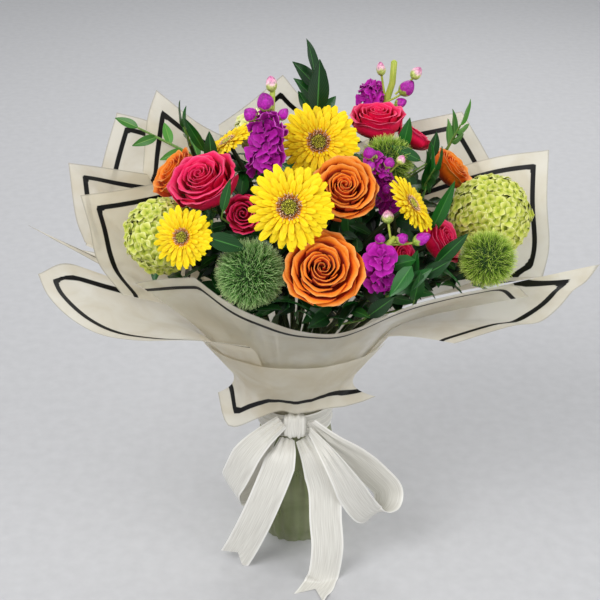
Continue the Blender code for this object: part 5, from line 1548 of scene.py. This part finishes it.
def sleeve_grid(columns=168, rows=34):
    """Soft folds run down the sleeve, deepest at the barrel's middle."""
    z = np.linspace(0, 0.172, rows)
    r = np.interp(z, *zip(*SLEEVE))
    for _ in range(6):
        r[1:-1] = (r[:-2] + 2 * r[1:-1] + r[2:]) / 4
    angle = np.linspace(0, math.tau, columns, endpoint=False)[None, :]
    deep = np.interp(z, (0, 0.03, 0.12, 0.155, 0.172), (0.0016, 0.0028, 0.0020, 0.0, 0.0))[:, None]
    fold = 0.6 * np.sin(11 * angle + 2 * np.sin(3 * angle) + 9 * z[:, None]) + 0.4 * np.sin(23 * angle)
    radius = r[:, None] - 0.0008 + deep * fold
    return np.stack((radius * np.cos(angle), radius * np.sin(angle), z[:, None] + 0 * angle), -1)


sleeve = sleeve_grid()
far = np.full(sleeve.shape[:-1], 60.0)
mesh = solid_sheets("sleeve", sleeve[None], FILM_THICKNESS, loop=True, edge_mm=far[None])
finish_piece("film_sleeve_folds", mesh, SLEEVE_FILM_PAINTED_SHADE, "frosted_film", "film_sleeve")
print("collar and sleeve:", TRIANGLES["film_collar_sheet"], TRIANGLES["film_sleeve_folds"])

# %% [markdown]
# ## Satin ribbon
#
# The bow is 38 mm satin ribbon. Satin shows long floating threads on its face, so it shines in soft
# streaks across the weave; lighter streaks along the ribbon are painted into its colour as painted
# sheen. A narrow, denser selvedge runs along both edges. Each loop and tail is laid along a curve as
# flat cloth, gathered where it enters the knot.

# %% Satin
def satin_material():
    """Warp threads run along the ribbon, drawn 0.6 mm apart so that they show."""
    material, tree, surface = new_material("ivory_satin_ribbon", 0.34, 1.5)
    across = add(tree, "ShaderNodeAttribute", attribute_name="across_mm").outputs["Fac"]
    along = add(tree, "ShaderNodeAttribute", attribute_name="along_mm").outputs["Fac"]
    thread = add(tree, "ShaderNodeMath", {0: across, 1: math.tau / 0.6}, operation="MULTIPLY").outputs[0]
    ridge = add(tree, "ShaderNodeMath", {0: thread}, operation="SINE").outputs[0]
    weft = add(tree, "ShaderNodeMath", {0: along, 1: math.tau / 0.8}, operation="MULTIPLY").outputs[0]
    bars = add(tree, "ShaderNodeMath", {0: weft}, operation="SINE").outputs[0]
    weave = add(tree, "ShaderNodeMath", {0: bars, 1: 0.25, 2: ridge}, operation="MULTIPLY_ADD").outputs[0]
    side = add(tree, "ShaderNodeMath", {0: across}, operation="ABSOLUTE").outputs[0]
    selvedge = add(tree, "ShaderNodeMapRange", {
        "Value": side, "From Min": 16.6, "From Max": 17.2}).outputs[0]
    # Painted sheen: the face colour runs in lighter and darker streaks along the ribbon
    spot = add(tree, "ShaderNodeCombineXYZ", {"X": across, "Y": along}).outputs[0]
    streak = add(tree, "ShaderNodeMapping", {"Vector": spot, "Scale": (0.9, 0.03, 1.0)}).outputs[0]
    noise = add(tree, "ShaderNodeTexNoise", {"Vector": streak, "Scale": 1.0, "Detail": 2.0}).outputs["Fac"]
    face = ramp(tree, noise, ((0.35, "#d4d1c8"), (0.65, "#e6e4dc")))
    edged = add(tree, "ShaderNodeMix", {
        "Factor": selvedge, 6: face, 7: linear("#f0eee8")}, data_type="RGBA").outputs[2]
    tree.links.new(edged, surface.inputs["Base Color"])
    bump = add(tree, "ShaderNodeBump", {"Height": weave, "Strength": 0.10, "Distance": 0.0002})
    tree.links.new(bump.outputs[0], surface.inputs["Normal"])
    surface.inputs["Sheen Weight"].default_value = 0.25
    surface.inputs["Anisotropic"].default_value = 0.4
    return material


SATIN = satin_material()
RIBBON = 0.038
RIBBON_THICKNESS = 0.0005
# Places along the middle line, each with the direction across the ribbon
LOOP_LEFT = (
    ((-0.0152, -0.0610, 0.186), (0.20, -0.62, -0.76)), ((-0.038, -0.071, 0.170), (0.60, -0.60, -0.50)),
    ((-0.056, -0.073, 0.148), (0.64, -0.62, -0.45)), ((-0.069, -0.067, 0.118), (0.64, -0.66, -0.38)),
    ((-0.076, -0.057, 0.096), (0.55, -0.75, -0.35)), ((-0.069, -0.048, 0.080), (0.50, -0.72, -0.48)),
    ((-0.055, -0.044, 0.084), (0.55, -0.66, -0.50)), ((-0.043, -0.045, 0.109), (0.62, -0.62, -0.48)),
    ((-0.034, -0.046, 0.147), (0.50, -0.60, -0.62)), ((-0.0180, -0.056, 0.178), (0.20, -0.84, -0.45)),
)
LOOP_RIGHT = (
    ((0.0184, -0.061, 0.186), (0.22, -0.62, 0.76)), ((0.041, -0.063, 0.161), (0.74, -0.20, 0.62)),
    ((0.067, -0.056, 0.136), (0.78, -0.10, 0.60)), ((0.094, -0.052, 0.107), (0.80, -0.14, 0.58)),
    ((0.111, -0.055, 0.087), (0.84, -0.24, 0.48)), ((0.107, -0.067, 0.071), (0.84, -0.10, 0.52)),
    ((0.090, -0.080, 0.069), (0.82, -0.04, 0.56)), ((0.073, -0.091, 0.096), (0.80, -0.10, 0.58)),
    ((0.059, -0.096, 0.126), (0.78, -0.14, 0.60)), ((0.042, -0.090, 0.153), (0.70, -0.26, 0.64)),
    ((0.0182, -0.062, 0.175), (0.25, -0.72, 0.62)),
)
TAIL_LEFT = (
    ((-0.009, -0.0600, 0.1628), (1.0, 0.0, 0.0)), ((-0.015, -0.078, 0.148), (0.96, -0.10, 0.26)),
    ((-0.027, -0.087, 0.117), (0.92, -0.16, 0.34)), ((-0.044, -0.089, 0.073), (0.90, -0.24, 0.34)),
    ((-0.062, -0.083, 0.029), (0.86, -0.36, 0.30)), ((-0.075, -0.0765, 0.0006), (0.84, -0.50, 0.20)),
)
TAIL_RIGHT = (
    ((0.009, -0.0600, 0.1628), (1.0, 0.0, 0.0)), ((0.023, -0.075, 0.142), (0.98, 0.0, -0.14)),
    ((0.034, -0.083, 0.110), (1.0, 0.0, -0.10)), ((0.036, -0.096, 0.073), (1.0, 0.06, 0.0)),
    ((0.038, -0.107, 0.038), (1.0, 0.16, 0.0)), ((0.031, -0.118, 0.0008), (0.95, 0.30, 0.0)),
    ((0.016, -0.148, 0.0005), (0.90, 0.40, 0.0)),
)
NOTCH = 0.018


def smooth_places(places, steps):
    """Points and directions read from a smooth curve through the given places."""
    values = np.array([list(p) + list(w) for p, w in places], dtype=float)
    padded = np.vstack((2 * values[0] - values[1], values, 2 * values[-1] - values[-2]))
    rows = []
    for i in range(len(values) - 1):
        a, b, c, d = padded[i:i + 4]
        for k in range(steps):
            t = k / steps
            rows.append(0.5 * (2 * b + (c - a) * t + (2 * a - 5 * b + 4 * c - d) * t * t
                               + (3 * b - a - 3 * c + d) * t ** 3))
    rows = np.array(rows + [values[-1]])
    return rows[:, :3], unit(rows[:, 3:])


def ribbon_grid(places, notch=0.0, lowest=None, columns=13, steps=14):
    points, across = smooth_places(places, steps)
    ways = unit(np.gradient(points, axis=0))
    across = unit(across - ways * (across * ways).sum(1, keepdims=True))
    normal = np.cross(ways, across)
    count = len(points)
    length = np.concatenate(((0,), np.cumsum(np.linalg.norm(np.diff(points, axis=0), axis=1))))
    s = np.linspace(-1, 1, columns)
    number = np.arange(count)
    near = number if notch else np.minimum(number, count - 1 - number)
    share = np.minimum(1.0, 0.45 + 2.2 * near / count)
    grid = points[:, None] + across[:, None] * (s[None, :, None] * RIBBON / 2 * share[:, None, None])
    # Gathers: the narrower the ribbon, the deeper its folds
    fold = (0.0032 * (1 - share) ** 0.8)[:, None] * np.cos(3 * math.pi * s)[None]
    crown = 0.0012 * (1 - s ** 2)[None] * share[:, None]
    grid = grid + normal[:, None] * (fold + crown)[..., None]
    if notch:
        # A forked end: the middle of the ribbon is cut back further than its edges
        cut = notch * (1 - np.abs(s))
        back = np.clip((length - (length[-1] - 0.035)) / 0.035, 0, 1)[:, None] * cut[None]
        grid = grid - ways[:, None] * back[..., None]
    if lowest is not None:
        grid[..., 2] = np.maximum(grid[..., 2], lowest)
    along = 1000 * length[:, None] + 0 * s[None]
    wide = 1000 * RIBBON / 2 * s[None] + 0 * length[:, None]
    return grid, along, wide, float(length[-1])


def ribbon(name, places, held, rests_on, **settings):
    grid, along, wide, length = ribbon_grid(places, **settings)
    mesh = solid_sheets(name, grid[None], RIBBON_THICKNESS, along_mm=along[None], across_mm=wide[None])
    piece = finish_piece(name + "_satin", mesh, SATIN, "satin_ribbon", name)
    return piece


ribbon("ribbon_loop_left", LOOP_LEFT, "gathered", ["ribbon_knot"])
ribbon("ribbon_loop_right", LOOP_RIGHT, "gathered", ["ribbon_knot"])
ribbon("ribbon_tail_left", TAIL_LEFT, "draped", ["ribbon_knot"], notch=NOTCH, lowest=0.0004)
ribbon("ribbon_tail_right", TAIL_RIGHT, "draped", ["ribbon_knot"], notch=NOTCH, lowest=0.0004)
print("ribbon:", sum(v for k, v in TRIANGLES.items() if k.startswith("ribbon")), "triangles")

# %% [markdown]
# The band is the same ribbon drawn tight round the film, where it crumples into long flat folds. The
# knot is the ribbon turned once over itself: a soft block whose folds run over it from top to bottom.

# %% Band and knot
BAND_RADIUS = 0.0428
BAND_LOW = 0.155
BAND_HIGH = 0.183
KNOT_SIZE = (0.028, 0.020, 0.030)
KNOT_MIDDLE = (0.0, -0.0560, 0.178)
KNOT_LEAN = -14.0

z = np.linspace(BAND_LOW, BAND_HIGH, 23)[:, None]
angle = np.linspace(0, math.tau, 160, endpoint=False)[None, :]
share = (z - BAND_LOW) / (BAND_HIGH - BAND_LOW)
fold = np.abs(np.sin(math.pi * (3 * share + 0.16 * np.sin(2 * angle) + 0.10 * np.sin(5 * angle))))
radius = BAND_RADIUS + 0.0002 + 0.0022 * fold
band = np.stack((radius * np.cos(angle), radius * np.sin(angle), z + 0 * angle), -1)
mesh = solid_sheets("band", band[None], RIBBON_THICKNESS, loop=True,
                    along_mm=(1000 * BAND_RADIUS * angle + 0 * z)[None],
                    across_mm=(1000 * RIBBON * (share - 0.5) + 0 * angle)[None])
piece = finish_piece("ribbon_band_satin", mesh, SATIN, "satin_ribbon", "ribbon_band")


def knot_mesh(rows=29, columns=48):
    """Rings round the X axis, from the knot's left end to its right end."""
    vertices, along, wide, faces = [], [], [], []
    for row in range(rows):
        u = -1 + 2 * row / (rows - 1)
        end = max(0.0, 1 - abs(u) ** 4.0) ** 0.30
        crease = 1 - 0.10 * abs(math.sin(2.5 * math.pi * u + 0.5)) ** 3 - 0.04 * math.cos(9 * u)
        waist = 1 - 0.06 * math.cos(math.pi * u) * (1 - abs(u))
        for k in range(columns):
            a = math.tau * k / columns
            c, s = math.cos(a), math.sin(a)
            y = math.copysign(abs(c) ** 0.62, c) * KNOT_SIZE[1] / 2
            z = math.copysign(abs(s) ** 0.62, s) * KNOT_SIZE[2] / 2
            size = max(end, 0.16) * crease * waist
            sway = 0.0012 * math.sin(2 * a + 3 * u)
            vertices.append((u * KNOT_SIZE[0] / 2 * 0.98 + sway * (1 - abs(u)), y * size, z * size))
            along.append(90 * k / columns)
            wide.append(16 * u)
    faces.append(tuple(range(columns)))
    faces.append(tuple((rows - 1) * columns + k for k in reversed(range(columns))))
    for row in range(rows - 1):
        for k in range(columns):
            a, n = row * columns, (k + 1) % columns
            faces.append((a + k, a + columns + k, a + columns + n, a + n))
    mesh = bpy.data.meshes.new("knot")
    mesh.from_pydata(vertices, [], faces)
    mesh.attributes.new("along_mm", "FLOAT", "POINT").data.foreach_set("value", along)
    mesh.attributes.new("across_mm", "FLOAT", "POINT").data.foreach_set("value", wide)
    mesh.transform(Matrix.Translation(KNOT_MIDDLE) @ Matrix.Rotation(math.radians(KNOT_LEAN), 4, "X"))
    return mesh


finish_piece("ribbon_knot_satin", knot_mesh(), SATIN, "satin_ribbon", "ribbon_knot")
print("band and knot:", TRIANGLES["ribbon_band_satin"], TRIANGLES["ribbon_knot_satin"])

# %% [markdown]
# ## Studio
#
# A photograph like this is taken on a pale seamless surface under large soft lights. The floor is
# plain and pale, and three big area lights and a bright sky keep every shadow soft. The colours are
# shown as they are, with no film look over them, because the photograph's petals are so vivid. The
# camera looks down at the bouquet from 26 degrees, from far enough to keep its lines calm.

# %% Floor, light and camera
floor_mesh = bpy.data.meshes.new("floor")
floor_mesh.from_pydata([(-8, -8, 0), (8, -8, 0), (8, 8, 0), (-8, 8, 0)], [], [(0, 1, 2, 3)])
floor = bpy.data.objects.new("floor", floor_mesh)
bpy.context.scene.collection.objects.link(floor)
paper, tree, surface = new_material("seamless_paper", 0.9)
spot = add(tree, "ShaderNodeTexCoord").outputs["Object"]
fibre = add(tree, "ShaderNodeTexNoise", {"Vector": spot, "Scale": 60.0, "Detail": 3.0}).outputs["Fac"]
tree.links.new(ramp(tree, fibre, ((0.3, "#c2c2c4"), (0.7, "#c8c8ca"))), surface.inputs["Base Color"])
floor_mesh.materials.append(paper)


def area_light(name, place, target, size, power):
    lamp = bpy.data.lights.new(name, "AREA")
    lamp.size, lamp.energy = size, power
    holder = bpy.data.objects.new(name, lamp)
    holder.location = place
    holder.rotation_euler = (Vector(target) - Vector(place)).to_track_quat("-Z", "Y").to_euler()
    bpy.context.scene.collection.objects.link(holder)
    return holder


MIDDLE = (0.006, 0.0, 0.313)
area_light("key", (-1.3, -1.5, 2.2), MIDDLE, 1.6, 42)
area_light("fill", (1.8, -1.3, 1.3), MIDDLE, 1.8, 20)
area_light("back", (0.4, 1.9, 1.9), MIDDLE, 1.6, 22)
world = bpy.data.worlds.new("soft_sky")
world.use_nodes = True
world.node_tree.nodes["Background"].inputs["Color"].default_value = linear("#f2f4f6")
world.node_tree.nodes["Background"].inputs["Strength"].default_value = 0.55
bpy.context.scene.world = world
bpy.context.scene.view_settings.view_transform = "Standard"

view = bpy.data.cameras.new("camera")
view.lens = 83
camera = bpy.data.objects.new("camera", view)
elevation = math.radians(26)
camera.location = Vector(MIDDLE) + 1.60 * Vector((0, -math.cos(elevation), math.sin(elevation)))
camera.rotation_euler = (math.radians(90) - elevation, 0, 0)
bpy.context.scene.collection.objects.link(camera)
bpy.context.scene.camera = camera
print("camera at", [round(v, 3) for v in camera.location])

# %% [markdown]
# ## Finish
#
# The last step notes how many pieces and triangles the dressed model has.

# %% Sizes and finish
print("pieces:", len(TRIANGLES), "triangles:", sum(TRIANGLES.values()))
